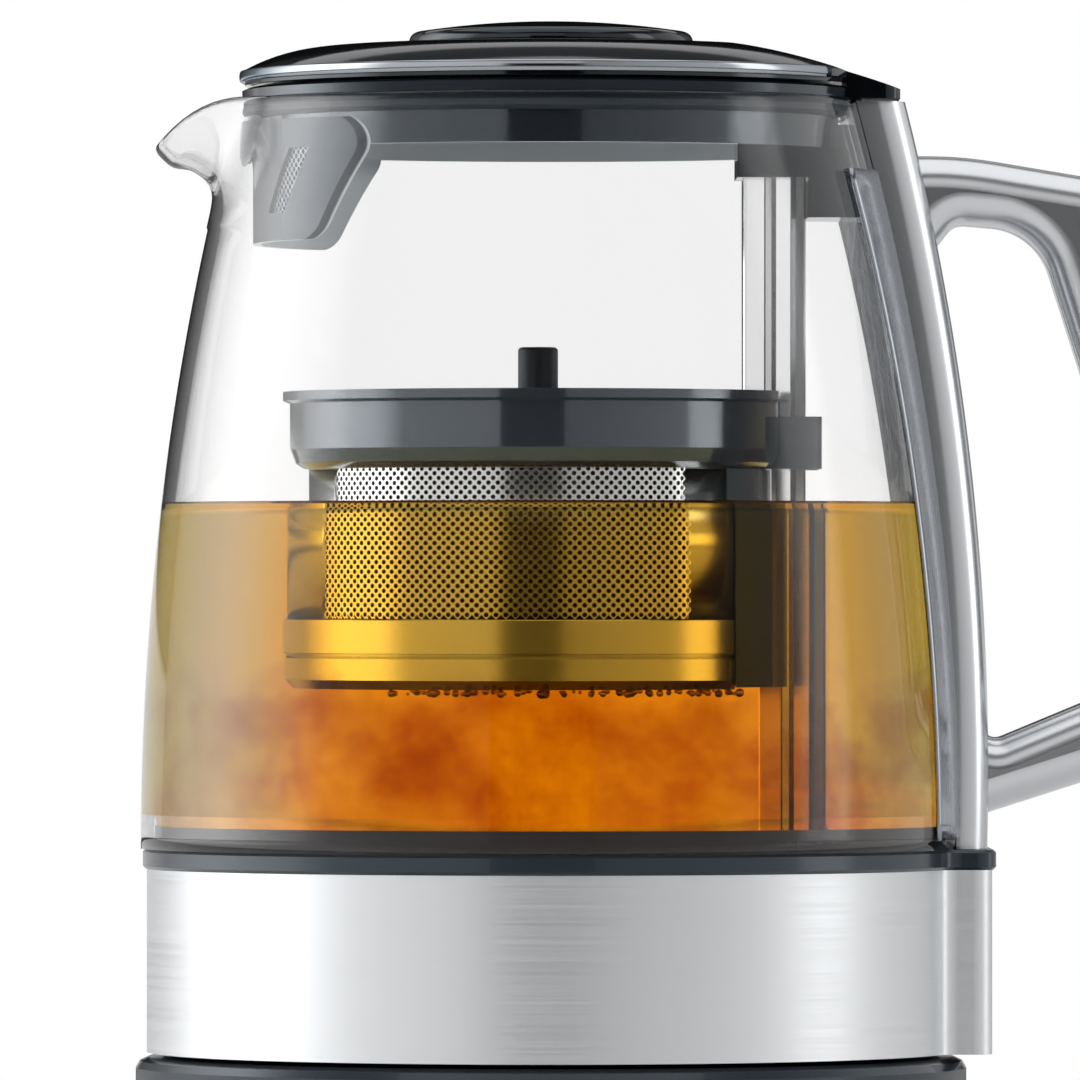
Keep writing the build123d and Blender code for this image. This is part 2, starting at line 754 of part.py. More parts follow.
underside_z = 2.4
with BuildPart() as base_foot_ring:
    add(hoop(base_r - 23, base_r - 11, 0, underside_z))
save(base_foot_ring, "base_foot_ring")

boss_head_r = 3.2
with BuildPart() as base_underside:
    add(
        turned(
            [
                (0, underside_z),
                (base_r - 4, underside_z),
                (base_r - 1.2, underside_z + 2),
                (base_r - 1.2, base_skirt_z + 0.7),
                (base_r - 3.6, base_skirt_z + 0.7),
                (base_r - 3.6, tray_floor_z),
                (0, tray_floor_z),
            ]
        )
    )
    with PolarLocations(boss_circle_r, 4, start_angle=45):
        with Locations((0, 0, underside_z)):
            Cylinder(2.0, 10, mode=Mode.SUBTRACT)
    with Locations((0, power_board_y, tray_floor_z)):
        with GridLocations(52, 32, 2, 2):
            Cylinder(2.5, board_z - tray_floor_z, align=(Align.CENTER, Align.CENTER, Align.MIN))
    with Locations((0, control_board_y, tray_floor_z)):
        Box(control_board_w, 5, board_z - tray_floor_z, align=(Align.CENTER, Align.CENTER, Align.MIN))
    extrude(
        arc_band(carrier_r - 0.2, carrier_r + 2.0, carrier_half_angle, tray_floor_z),
        amount=carrier_z0 - tray_floor_z,
    )
save(base_underside, "base_underside")

shell_top_z = console_z1 + 1.0
cord_z = 17.0
with BuildPart() as base_shell:
    add(
        turned(
            [
                (base_r - 1.0, base_skirt_z - 3),
                (base_r, base_skirt_z - 3),
                (base_r, shell_top_z),
                (base_r - 1.0, shell_top_z),
            ]
        )
    )
    extrude(
        arc_band(base_r - 13, base_r + 7, console_half_angle + 0.2, console_z0 - 0.2),
        amount=console_z1 - console_z0 + 0.4,
        mode=Mode.SUBTRACT,
    )
    with Locations(Plane(origin=(0, base_r, cord_z), z_dir=(0, 1, 0))):
        Cylinder(7.2, 10, mode=Mode.SUBTRACT)
save(base_shell, "base_shell")

with BuildPart() as base_top_cover:
    add(
        turned(
            [
                (stub_r + 0.4, base_top_z - 3),
                (base_r - 4.4, base_top_z - 3),
                (base_r - 4.4, shell_top_z - 3.5),
                (base_r - 1.1, shell_top_z - 3.5),
                (base_r - 1.1, shell_top_z),
                (base_r, shell_top_z),
                (base_r, base_top_z - 2.2),
                (base_r - 0.8, base_top_z - 0.8),
                (base_r - 2.6, base_top_z),
                (stub_r + 0.4, base_top_z),
            ]
        )
    )
    extrude(
        arc_band(base_r - 13, base_r - 0.6, console_half_angle + 0.5, console_z1 - 5),
        amount=5.3,
        mode=Mode.SUBTRACT,
    )
    with PolarLocations(boss_circle_r, 4, start_angle=45):
        with Locations((0, 0, 5.0)):
            Cylinder(boss_r, base_top_z - 3 - 5.0, align=(Align.CENTER, Align.CENTER, Align.MIN))
            Cylinder(1.6, 16, align=(Align.CENTER, Align.CENTER, Align.MIN), mode=Mode.SUBTRACT)
save(base_top_cover, "base_top_cover")

with BuildPart() as base_screws:
    with PolarLocations(boss_circle_r, 4, start_angle=45):
        with Locations((0, 0, 2.3)):
            Cylinder(boss_head_r, 1.6, align=(Align.CENTER, Align.CENTER, Align.MAX))
            Cylinder(1.5, 16, align=(Align.CENTER, Align.CENTER, Align.MIN))
            Cylinder(1.5, 1, align=(Align.CENTER, Align.CENTER, Align.MAX))
save(base_screws, "base_screws")

with BuildPart() as base_connector:
    with Locations((0, 0, 48.0)):
        Cylinder(19, base_top_z - 3 - 48.0 - slip, align=(Align.CENTER, Align.CENTER, Align.MIN))
        Cylinder(stub_r, stub_top_z - 48.0, align=(Align.CENTER, Align.CENTER, Align.MIN))
    fillet(base_connector.edges().group_by(Axis.Z)[-1], 1)
    with BuildSketch(Plane.XY.offset(stub_top_z)):
        Circle(9.2)
        Circle(6.0, mode=Mode.SUBTRACT)
        Circle(2.6)
    extrude(amount=-8, mode=Mode.SUBTRACT)
save(base_connector, "base_connector")

cord_r = 3.4
with BuildPart() as cord_inlet:
    with BuildSketch(Plane(origin=(0, base_r - 5, cord_z), x_dir=(1, 0, 0), z_dir=(0, 1, 0))):
        Circle(7.0)
    extrude(amount=8)
    with BuildSketch(Plane(origin=(0, base_r + slip, cord_z), x_dir=(1, 0, 0), z_dir=(0, 1, 0))):
        Circle(8.6)
    extrude(amount=2.4)
    with Locations(Plane(origin=(0, base_r + 7, cord_z), z_dir=(0, 1, 0))):
        Hole(cord_r, depth=14)
save(cord_inlet, "cord_inlet")

with BuildPart() as power_board:
    with Locations((0, power_board_y, board_z)):
        Box(62, 40, 1.6, align=(Align.CENTER, Align.CENTER, Align.MIN))
    with Locations((-18, 32, 7.6)):
        Box(22, 20, 18, align=(Align.CENTER, Align.CENTER, Align.MIN))
    with Locations((12, 24, 7.6), (24, 38, 7.6)):
        Cylinder(5, 16, align=(Align.CENTER, Align.CENTER, Align.MIN))
save(power_board, "power_board")

# ==== control panel ====


def button_outline(angle, radius, z, is_round, grow):
    """Outline of one button, or of its hole, square to its own radius."""
    with BuildSketch(front_plane(angle, radius, z)) as face:
        if is_round:
            Circle(round_button_r + grow)
        else:
            SlotOverall(slot_button_w + 2 * grow, slot_button_h + 2 * grow)
    return face.sketch


buttons = [(angle, round_button_z, True) for angle in round_button_angles]
buttons += [(angle, slot_button_z, False) for angle in slot_button_angles]
button_names = (
    "start_button",
    "menu_button",
    "type_button",
    "strength_button",
    "temp_button",
    "time_button",
    "warm_button",
    "power_button",
)
button_gap = 0.25

with BuildPart() as console_panel:
    panel_plan = arc_band(panel_r - panel_wall, panel_r, console_half_angle, console_z0)
    extrude(panel_plan, amount=console_z1 - console_z0)
    extrude(
        arc_band(panel_r - 10, panel_r + 5, window_half_angle, window_z0),
        amount=window_z1 - window_z0,
        mode=Mode.SUBTRACT,
    )
    for angle, z, is_round in buttons:
        hole = button_outline(angle, panel_r + 4, z, is_round, button_gap)
        extrude(hole, amount=-12, mode=Mode.SUBTRACT)
save(console_panel, "console_panel")

with BuildPart() as lcd_window:
    window = arc_band(panel_r - 2.0, panel_r - 0.2, window_half_angle - 0.1, window_z0 + slip)
    extrude(window, amount=window_z1 - window_z0 - 2 * slip)
save(lcd_window, "lcd_window")

lcd_back_y = -carrier_r - 3.0
with BuildPart() as lcd_module:
    with Locations((0, lcd_back_y - 1.4, (window_z0 + window_z1) / 2)):
        Box(42, 2.4, 20, align=(Align.CENTER, Align.MAX, Align.CENTER))
        Box(44, 1.4, 21, align=(Align.CENTER, Align.MIN, Align.CENTER))
save(lcd_module, "lcd_module")

for name, (angle, z, is_round) in zip(button_names, buttons):
    with BuildPart() as button:
        cap_face = button_outline(angle, button_face_r, z, is_round, 0)
        extrude(cap_face, amount=button_back_r - button_face_r)
        front_edges = button.faces().filter_by(lambda f: f.center().Y < 0).edges()
        out = front_plane(angle, button_face_r, z)
        fillet(front_edges.filter_by(lambda e: abs(out.to_local_coords(e.center()).Z) < 0.01), 0.5)
        extrude(button_outline(angle, button_flange_r, z, is_round, 0.9), amount=-1.2)
    save(button, name)

switch_top_r = button_back_r - 1.3
with BuildPart() as button_switches:
    for angle, z, is_round in buttons:
        with BuildSketch(front_plane(angle, switch_back_r, z)):
            Rectangle(6, 6)
        extrude(amount=2.6)
        with BuildSketch(front_plane(angle, switch_back_r, z)):
            Circle(1.7)
        extrude(amount=switch_top_r - switch_back_r)
save(button_switches, "button_switches")

with BuildPart() as switch_carrier:
    extrude(arc_band(carrier_r, carrier_r + 1.8, carrier_half_angle, carrier_z0), amount=26)
    with Locations((-14, lcd_back_y, 30), (14, lcd_back_y, 30)):
        Box(4, 4, 8, align=(Align.CENTER, Align.MIN, Align.CENTER))
    for angle, z, is_round in buttons:
        with BuildSketch(front_plane(angle, switch_back_r - 1.0, z)):
            Rectangle(7, 7)
        extrude(amount=0.9)
save(switch_carrier, "switch_carrier")

with BuildPart() as control_board:
    with Locations((0, control_board_y, board_z)):
        Box(control_board_w, 1.6, 34, align=(Align.CENTER, Align.CENTER, Align.MIN))
    with Locations((0, control_board_y + 0.8, 16)):
        Box(14, 2.4, 14, align=(Align.CENTER, Align.MIN, Align.MIN))
save(control_board, "control_board")
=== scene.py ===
"""Looks of the automatic tea maker: glass jug, tea, basket, lid, handle and power base.

Metres, in the same frame as the solids: origin on the jug's axis, on the worktop.
The spout points to -X, the handle to +X and the control panel to -Y.
"""
import math

import bmesh
import bpy
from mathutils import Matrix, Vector


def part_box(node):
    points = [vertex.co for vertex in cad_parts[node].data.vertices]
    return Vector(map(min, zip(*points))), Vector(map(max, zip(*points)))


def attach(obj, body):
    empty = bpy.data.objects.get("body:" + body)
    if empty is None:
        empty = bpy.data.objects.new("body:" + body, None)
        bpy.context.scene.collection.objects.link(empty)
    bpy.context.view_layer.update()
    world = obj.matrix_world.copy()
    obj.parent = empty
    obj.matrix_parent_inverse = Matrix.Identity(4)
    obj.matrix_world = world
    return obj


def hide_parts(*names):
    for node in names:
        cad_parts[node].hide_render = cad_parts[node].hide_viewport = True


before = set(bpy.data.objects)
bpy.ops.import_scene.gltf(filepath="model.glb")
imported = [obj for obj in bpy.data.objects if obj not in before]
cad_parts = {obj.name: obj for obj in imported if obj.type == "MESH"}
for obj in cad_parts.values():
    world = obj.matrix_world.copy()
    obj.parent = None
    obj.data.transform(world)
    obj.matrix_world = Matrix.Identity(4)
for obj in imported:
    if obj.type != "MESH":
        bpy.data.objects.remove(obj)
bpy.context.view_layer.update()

# ---------------------------------------------------------------------------
# Glass jug: a bowed cylinder of clear borosilicate, blown and fire-polished,
# with a lip pulled out of the rim. It stands in a seal on the collar ring.
# ---------------------------------------------------------------------------


def srgb(code, alpha=1.0):
    """Linear colour of an sRGB hex value."""
    values = [int(code[i:i + 2], 16) / 255 for i in (1, 3, 5)]
    return [v / 12.92 if v <= 0.04045 else ((v + 0.055) / 1.055) ** 2.4 for v in values] + [alpha]


def node(tree, kind, settings=None, **inputs):
    """Add a node; inputs go by name, or by number after a low line, and are values or sockets."""
    made = tree.nodes.new(kind)
    for key, value in (settings or {}).items():
        setattr(made, key, value)
    for key, value in inputs.items():
        spot = int(key[1:]) if key[0] == "_" else key.replace("_", " ")
        socket = made.inputs[spot]
        if isinstance(value, bpy.types.NodeSocket):
            tree.links.new(value, socket)
        else:
            socket.default_value = value
    return made


def new_material(name):
    """Empty material with its node tree and output."""
    material = bpy.data.materials.new(name)
    material.use_nodes = True
    tree = material.node_tree
    tree.nodes.clear()
    return material, tree, tree.nodes.new("ShaderNodeOutputMaterial")


def see_through(name, colour, ior, shadow_tint, mirror=0.08):
    """Clear refracting stuff: a share of its head-on mirror, all of it at the rim; its shadow is light."""
    material, tree, output = new_material(name)
    body = node(tree, "ShaderNodeBsdfPrincipled", Base_Color=colour, Roughness=0.0, IOR=ior)
    body.inputs["Transmission Weight"].default_value = 1.0
    bend = node(tree, "ShaderNodeBsdfRefraction", Color=[v ** 0.5 for v in colour], Roughness=0.0, IOR=ior)
    turn = node(tree, "ShaderNodeLayerWeight", Blend=0.5)
    head_on, at_rim = 0.08, 0.35
    share = node(tree, "ShaderNodeMapRange", _0=turn.outputs["Facing"], _1=head_on, _2=at_rim,
                 _3=mirror, _4=1.0)
    clear = node(tree, "ShaderNodeMixShader", Fac=share.outputs[0], _1=bend.outputs[0], _2=body.outputs[0])
    film = node(tree, "ShaderNodeBsdfTransparent", Color=shadow_tint)
    ray = node(tree, "ShaderNodeLightPath")
    mix = node(tree, "ShaderNodeMixShader", Fac=ray.outputs["Is Shadow Ray"],
               _1=clear.outputs[0], _2=film.outputs[0])
    tree.links.new(mix.outputs[0], output.inputs["Surface"])
    return material, tree, (body, bend), output


def put_in_scene(name, data):
    """Object of the scene from a mesh or a camera."""
    made = bpy.data.objects.new(name, data)
    bpy.context.scene.collection.objects.link(made)
    return made


def add_mesh(name, verts, faces, material, smooth=True):
    """Object at the origin from points in metres, with doubles merged and faces turned outwards."""
    mesh = bpy.data.meshes.new(name)
    mesh.from_pydata([tuple(v) for v in verts], [], faces)
    mesh.materials.append(material)
    mesh.validate()
    made = put_in_scene(name, mesh)
    tidy = bmesh.new()
    tidy.from_mesh(mesh)
    bmesh.ops.remove_doubles(tidy, verts=tidy.verts, dist=1e-6)
    bmesh.ops.recalc_face_normals(tidy, faces=tidy.faces)
    tidy.to_mesh(mesh)
    tidy.free()
    for face in mesh.polygons:
        face.use_smooth = smooth
    return made


def wrap_faces(rings, count, closed=False):
    """Faces between rings of points that each meet round the piece; closed joins the last to the first."""
    return [(a * count + k, a * count + (k + 1) % count,
             (a + 1) % rings * count + (k + 1) % count, (a + 1) % rings * count + k)
            for a in range(rings if closed else rings - 1) for k in range(count)]


GLASS_FOOT_R, GLASS_BOW_R, GLASS_WALL = 0.082, 0.580, 0.0026
GLASS_FOOT_Z, GLASS_RIM_Z = 0.098, 0.2466
LIP_START_Z, LIP_HALF_ANGLE, LIP_SPREAD, LIP_RISE = 0.2215, math.radians(24), 1.25, 2.4
GLASS_COLUMNS, GLASS_ROWS, LIP_ROW, RIM_STEPS = 240, 84, 48, 5
LIP_PATH = ((0.0690, 0.2215), (0.0678, 0.2280), (0.0690, 0.2312), (0.0720, 0.2334),
            (0.0758, 0.2342), (0.0787, 0.2368))


def glass_radius(z, inset=0.0):
    """Radius of the bowed wall at a height, or of a wall inset from it."""
    return GLASS_FOOT_R - GLASS_BOW_R + math.sqrt((GLASS_BOW_R - inset) ** 2 - (z - GLASS_FOOT_Z) ** 2)


def along(path, t):
    """Point at a share of a path, on a Catmull-Rom curve through its points."""
    spans = len(path) - 1
    i = min(int(t * spans), spans - 1)
    u = t * spans - i
    p = [path[max(i - 1, 0)], path[i], path[i + 1], path[min(i + 2, spans)]]
    return [0.5 * (2 * p[1][k] + (p[2][k] - p[0][k]) * u
                   + (2 * p[0][k] - 5 * p[1][k] + 4 * p[2][k] - p[3][k]) * u ** 2
                   + (3 * p[1][k] - p[0][k] - 3 * p[2][k] + p[3][k]) * u ** 3) for k in (0, 1)]


def glass_point(angle, row):
    """Outer surface point: plain wall below the lip, blended into it above."""
    if row <= LIP_ROW:
        z = GLASS_FOOT_Z + (LIP_START_Z - GLASS_FOOT_Z) * row / LIP_ROW
        r = glass_radius(z)
    else:
        t = (row - LIP_ROW) / (GLASS_ROWS - LIP_ROW)
        z = LIP_START_Z + (GLASS_RIM_Z - LIP_START_Z) * t
        r = glass_radius(z)
        off = abs(angle - math.pi)
        if off < LIP_HALF_ANGLE:
            share = (0.5 + 0.5 * math.cos(math.pi * off / LIP_HALF_ANGLE)) ** LIP_SPREAD
            lip_r, lip_z = along(LIP_PATH, t)
            r, z = r + (lip_r - r) * share, z + (lip_z - z) * share ** LIP_RISE
    return Vector((r * math.cos(angle), r * math.sin(angle), z))


glass_clear = see_through("borosilicate_fire_polished", srgb("#f8f8f8"), 1.47, srgb("#f4f5f5"))[0]
outer = [[glass_point(2 * math.pi * c / GLASS_COLUMNS, row) for c in range(GLASS_COLUMNS)]
         for row in range(GLASS_ROWS + 1)]
facing = []
for row in range(GLASS_ROWS + 1):
    facing.append([])
    for c in range(GLASS_COLUMNS):
        up = outer[min(row + 1, GLASS_ROWS)][c] - outer[max(row - 1, 0)][c]
        side = outer[row][(c + 1) % GLASS_COLUMNS] - outer[row][c - 1]
        facing[row].append((side.cross(up).normalized(), up.normalized()))
verts = [point for ring in outer for point in ring]
for k in range(1, RIM_STEPS):
    bend = math.pi * k / RIM_STEPS
    for c in range(GLASS_COLUMNS):
        out, up = facing[GLASS_ROWS][c]
        centre = outer[GLASS_ROWS][c] - out * GLASS_WALL / 2
        verts.append(centre + (out * math.cos(bend) + up * math.sin(bend)) * GLASS_WALL / 2)
for row in range(GLASS_ROWS, -1, -1):
    verts += [outer[row][c] - facing[row][c][0] * GLASS_WALL for c in range(GLASS_COLUMNS)]
faces = wrap_faces(len(verts) // GLASS_COLUMNS, GLASS_COLUMNS, closed=True)
glass_shell = add_mesh("glass_shell", verts, faces, glass_clear)
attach(glass_shell, "jug")
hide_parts("glass_jug")

# ---------------------------------------------------------------------------
# Tea: clear amber liquid from the steel floor up to the fill line, touching the
# glass all round with a small meniscus. Clouds of darker brew hang in it.
# ---------------------------------------------------------------------------
TEA_FLOOR_Z, TEA_TOP_Z, TEA_TOUCH = 0.1006, 0.1660, 0.00005
TEA_FOOT_PATH = ((0.0, TEA_FLOOR_Z), (0.0765, TEA_FLOOR_Z), (0.0778, 0.1018), (0.0786, 0.1027))
TEA_WALL_Z, TEA_WALL_STEPS, TEA_STEPS = 0.1030, 30, 160
CLOUDY_BELOW_Z, CLEAR_ABOVE_Z = 0.126, 0.142
MENISCUS = ((0.0, 0.0008), (0.0004, 0.0003), (0.0010, 0.0001), (0.0020, 0.0))  # in from the glass, up


def lathe(profile, steps, centre_x=0.0, start=0.0, sweep=2 * math.pi):
    """Points and faces of a radius and height profile turned about a vertical axis."""
    closed = abs(sweep - 2 * math.pi) < 1e-6
    count = steps if closed else steps + 1
    points, quads = [], []
    for r, z in profile:
        for c in range(count):
            a = start + sweep * c / steps
            points.append((centre_x + r * math.cos(a), r * math.sin(a), z))
    for ring in range(len(profile) - 1):
        for c in range(steps):
            d = (c + 1) % count
            quads.append((ring * count + c, ring * count + d, (ring + 1) * count + d, (ring + 1) * count + c))
    return points, quads


def set_ramp(ramp, stops):
    """Colours at shares along a colour ramp, lowest share first."""
    ramp.elements[0].position, ramp.elements[0].color = stops[0]
    ramp.elements[1].position, ramp.elements[1].color = stops[-1]
    for share, colour in stops[1:-1]:
        ramp.elements.new(share).color = colour


# Absorption per metre makes a thin layer gold and the full width of the jug deep orange. The clouds
# have settled below the basket. Where the side of the tea turns away from view it is painted a cooler grey:
# painted shade, for the dark surroundings seen through it there.
tea_amber, tea_tree, (tea_body, tea_bend), tea_output = see_through(
    "brewed_tea_clear", srgb("#ffffff"), 1.09, srgb("#fff4e4"))
brew = node(tea_tree, "ShaderNodeVolumeAbsorption", Color=srgb("#fbe200"), Density=42.0)
tea_tree.links.new(brew.outputs[0], tea_output.inputs["Volume"])
place = node(tea_tree, "ShaderNodeTexCoord")
swirl = node(tea_tree, "ShaderNodeTexNoise", Vector=place.outputs["Object"], Scale=44.0, Detail=6.0,
             Roughness=0.58, Distortion=0.12)
height = node(tea_tree, "ShaderNodeSeparateXYZ", Vector=place.outputs["Object"])
settled = node(tea_tree, "ShaderNodeMapRange", _0=height.outputs["Z"], _1=CLOUDY_BELOW_Z, _2=CLEAR_ABOVE_Z,
               _3=0.0, _4=-0.3)
cloud = node(tea_tree, "ShaderNodeMath", {"operation": "ADD"}, _0=swirl.outputs["Fac"],
             _1=settled.outputs[0])
stain = node(tea_tree, "ShaderNodeValToRGB", Fac=cloud.outputs[0])
set_ramp(stain.color_ramp, ((0.42, srgb("#ffffff")), (0.66, srgb("#b8744e"))))
# Painted shade: the tea turns a cooler grey as its side turns away from view; the clouds above are the brew's
# own colour.
slant = node(tea_tree, "ShaderNodeLayerWeight", Blend=0.5)
rim_painted_shade = node(tea_tree, "ShaderNodeValToRGB", Fac=slant.outputs["Facing"])
set_ramp(rim_painted_shade.color_ramp, (
    (0.085, srgb("#ffffff")), (0.114, srgb("#e1ffff")), (0.142, srgb("#d1edff")), (0.175, srgb("#b6c8e9")),
    (0.207, srgb("#b8cdf9")), (0.23, srgb("#c2e1ff")), (0.30, srgb("#ffffff"))))
tea_clouds_and_rim_shade = node(tea_tree, "ShaderNodeVectorMath", {"operation": "MULTIPLY"},
                _0=stain.outputs["Color"], _1=rim_painted_shade.outputs["Color"])
tea_tree.links.new(tea_clouds_and_rim_shade.outputs[0], tea_body.inputs["Base Color"])
tea_half = node(tea_tree, "ShaderNodeGamma", Color=tea_clouds_and_rim_shade.outputs[0], Gamma=0.5)
tea_tree.links.new(tea_half.outputs[0], tea_bend.inputs["Color"])

wall = []
for k in range(TEA_WALL_STEPS + 1):
    z = TEA_FLOOR_Z + (TEA_TOP_Z - TEA_FLOOR_Z) * k / TEA_WALL_STEPS
    wall.append((glass_radius(z, GLASS_WALL) + TEA_TOUCH, z))
top_r = wall[-1][0]
tea_profile = list(TEA_FOOT_PATH) + [p for p in wall[:-1] if p[1] > TEA_WALL_Z]
tea_profile += [(top_r - inward, TEA_TOP_Z + upward) for inward, upward in MENISCUS] + [(0.0, TEA_TOP_Z)]
points, quads = lathe(tea_profile, TEA_STEPS)
tea_liquid = add_mesh("tea_liquid", points, quads, tea_amber)
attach(tea_liquid, "jug")

# ---------------------------------------------------------------------------
# Moulded parts: injection-moulded ABS. Grey for the lid's skirt, the filter flap,
# the post's cap, the fork and the basket's rim, near-black gloss for the lid and
# the panel, and black for the knob, the sockets and the undersides.
# ---------------------------------------------------------------------------


def moulded(name, colour, roughness, coat=0.0, grain_mm=0.35, grain=0.04, ior=1.52):
    """Injection-moulded plastic: an even colour with a very fine mould texture."""
    material, tree, output = new_material(name)
    spot = node(tree, "ShaderNodeTexCoord")
    speck = node(tree, "ShaderNodeTexNoise", Vector=spot.outputs["Object"], Scale=1000.0 / grain_mm,
                 Detail=2.0)
    bump = node(tree, "ShaderNodeBump", Strength=grain, Distance=0.0001, Height=speck.outputs["Fac"])
    body = node(tree, "ShaderNodeBsdfPrincipled", Base_Color=srgb(colour), Roughness=roughness,
                IOR=ior, Normal=bump.outputs[0])
    body.inputs["Specular Tint"].default_value = srgb("#d3e2ee")
    body.inputs["Coat Weight"].default_value = coat
    body.inputs["Coat Roughness"].default_value = 0.06
    tree.links.new(body.outputs[0], output.inputs["Surface"])
    return material


def dress(nodes, material):
    """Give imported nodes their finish."""
    for name in nodes:
        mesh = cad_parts[name].data
        mesh.materials.clear()
        mesh.materials.append(material)


grey_abs = moulded("grey_ABS_satin", "#262b30", 0.12, coat=0.4, grain=0.002, ior=1.7)
rim_abs = moulded("grey_ABS_gloss", "#2a2f35", 0.12, coat=1.0, grain=0.002, ior=1.75)
dark_abs = moulded("charcoal_ABS_gloss", "#0b0e11", 0.09, coat=0.3, grain=0.002, ior=1.5)
# Painted light: the fork's grey is lighter than the other grey mouldings, making up for the light its flat
# front misses while it mirrors the black flag.
clip_abs_painted_light = moulded("grey_ABS_fork", "#434b52", 0.2, coat=0.3, grain=0.002, ior=1.6)
collar_abs = moulded("dark_ABS_satin", "#252b31", 0.26, coat=0.3, grain=0.01)
black_abs = moulded("black_ABS_satin", "#060708", 0.34, ior=1.4)
dress(["post_cap"], grey_abs)


def painted_light_inside(name, radius, outside, inside, coat=0.4, ior=1.7):
    """Grey moulding whose inner face, below a radius, gets a paler colour: painted light on a face that lies
    in shade, standing in for the white surroundings that would light it; it shows as a light strip under the
    lid.
    """
    material = moulded(name, outside, 0.12, coat=coat, grain=0.002, ior=ior)
    tree = material.node_tree
    spot = node(tree, "ShaderNodeTexCoord")
    flat = node(tree, "ShaderNodeVectorMath", {"operation": "MULTIPLY"}, _0=spot.outputs["Object"],
                _1=(1.0, 1.0, 0.0))
    reach = node(tree, "ShaderNodeVectorMath", {"operation": "LENGTH"}, _0=flat.outputs[0])
    blend = 0.0003
    side = node(tree, "ShaderNodeMapRange", _0=reach.outputs["Value"], _1=radius, _2=radius + blend)
    shade = node(tree, "ShaderNodeMix", {"data_type": "RGBA"}, _0=side.outputs[0], _6=srgb(inside),
                 _7=srgb(outside))
    tree.links.new(shade.outputs[2], tree.nodes["Principled BSDF"].inputs["Base Color"])
    return material


# Painted light: the inner faces of the skirt and the flap lie in shade and are coloured paler to look lit.
skirt_abs_painted_inside = painted_light_inside("grey_ABS_skirt", 0.0562, "#1b2025", "#e2e8ec")
flap_abs_painted_inside = painted_light_inside("grey_ABS_flap", 0.0582, "#31383f", "#e2e8ec", coat=0.0, ior=1.48)
dress(["spout_filter"], flap_abs_painted_inside)
dress(["lid_skirt"], skirt_abs_painted_inside)
dress(["basket_rim", "basket_lid"], rim_abs)
dress(["basket_clip"], clip_abs_painted_light)
dress(["lid_dome", "lid_grip", "console_panel"], dark_abs)
dress(["collar_ring", "base_top_cover"], collar_abs)
dress(["basket_lid_knob", "jug_underside", "base_underside", "base_connector", "cord_inlet",
       "jug_connector", "button_switches"], black_abs)

# ---------------------------------------------------------------------------
# Lid trim: a thin half-round ring of smoke-chromed plastic, pressed on the lid's
# rim and open where the tail runs out over the strap. It stands in for the bright highlight line on the lid's
# glossy rim: a painted highlight made as a part. It mirrors the room darkly.
# ---------------------------------------------------------------------------
LID_RIM_R, TRIM_Z0, TRIM_Z1, TRIM_PROUD = 0.0620, 0.2510, 0.2532, 0.00035
TRIM_GAP, TRIM_BACK, TRIM_STEPS, TRIM_BULGE_STEPS = math.radians(27), 0.0006, 140, 8


def close_ends(quads, corners, steps):
    """Flat faces over both ends of a section that is turned part of the way round."""
    for first in (0, steps):
        quads.append(tuple(first + k * (steps + 1) for k in range(corners)))


# Painted highlight: this chrome ring gives the lid's rim its bright line.
highlight_chrome = moulded("smoke_chrome_plating", "#a4a8ac", 0.14, grain=0.0)
highlight_chrome.node_tree.nodes["Principled BSDF"].inputs["Metallic"].default_value = 1.0
trim_back_r = LID_RIM_R - TRIM_BACK
trim_profile = [(trim_back_r, TRIM_Z1)]
for k in range(TRIM_BULGE_STEPS + 1):
    bulge = math.pi * k / TRIM_BULGE_STEPS
    trim_profile.append((LID_RIM_R + TRIM_PROUD * math.sin(bulge),
                         (TRIM_Z0 + TRIM_Z1) / 2 + (TRIM_Z1 - TRIM_Z0) / 2 * math.cos(bulge)))
trim_profile += [(trim_back_r, TRIM_Z0), (trim_back_r, TRIM_Z1)]
points, quads = lathe(trim_profile, TRIM_STEPS, 0.0, TRIM_GAP, 2 * math.pi - 2 * TRIM_GAP)
close_ends(quads, len(trim_profile) - 1, TRIM_STEPS)
lid_highlight_trim = add_mesh("lid_trim_ring", points, quads, highlight_chrome)
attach(lid_highlight_trim, "lid")

# ---------------------------------------------------------------------------
# Rubber and silicone: the ring the glass stands in, the lid's seal and the
# ring foot. Soft, matt and slightly dusty.
# ---------------------------------------------------------------------------
silicone = moulded("dark_silicone", "#2b2019", 0.55)
foot_rubber = moulded("black_rubber", "#141414", 0.7)
lid_silicone = moulded("grey_silicone", "#343a40", 0.5)
dress(["glass_seal"], silicone)
dress(["lid_seal"], lid_silicone)
dress(["base_foot_ring"], foot_rubber)

# ---------------------------------------------------------------------------
# Metalwork: stainless wraps brushed on a lathe, satin stainless sheet drawn to
# the post and the basket's pan, a bead-blasted heater plate, a cast and polished
# handle with its strap, and zinc-plated screws and drive parts.
# ---------------------------------------------------------------------------


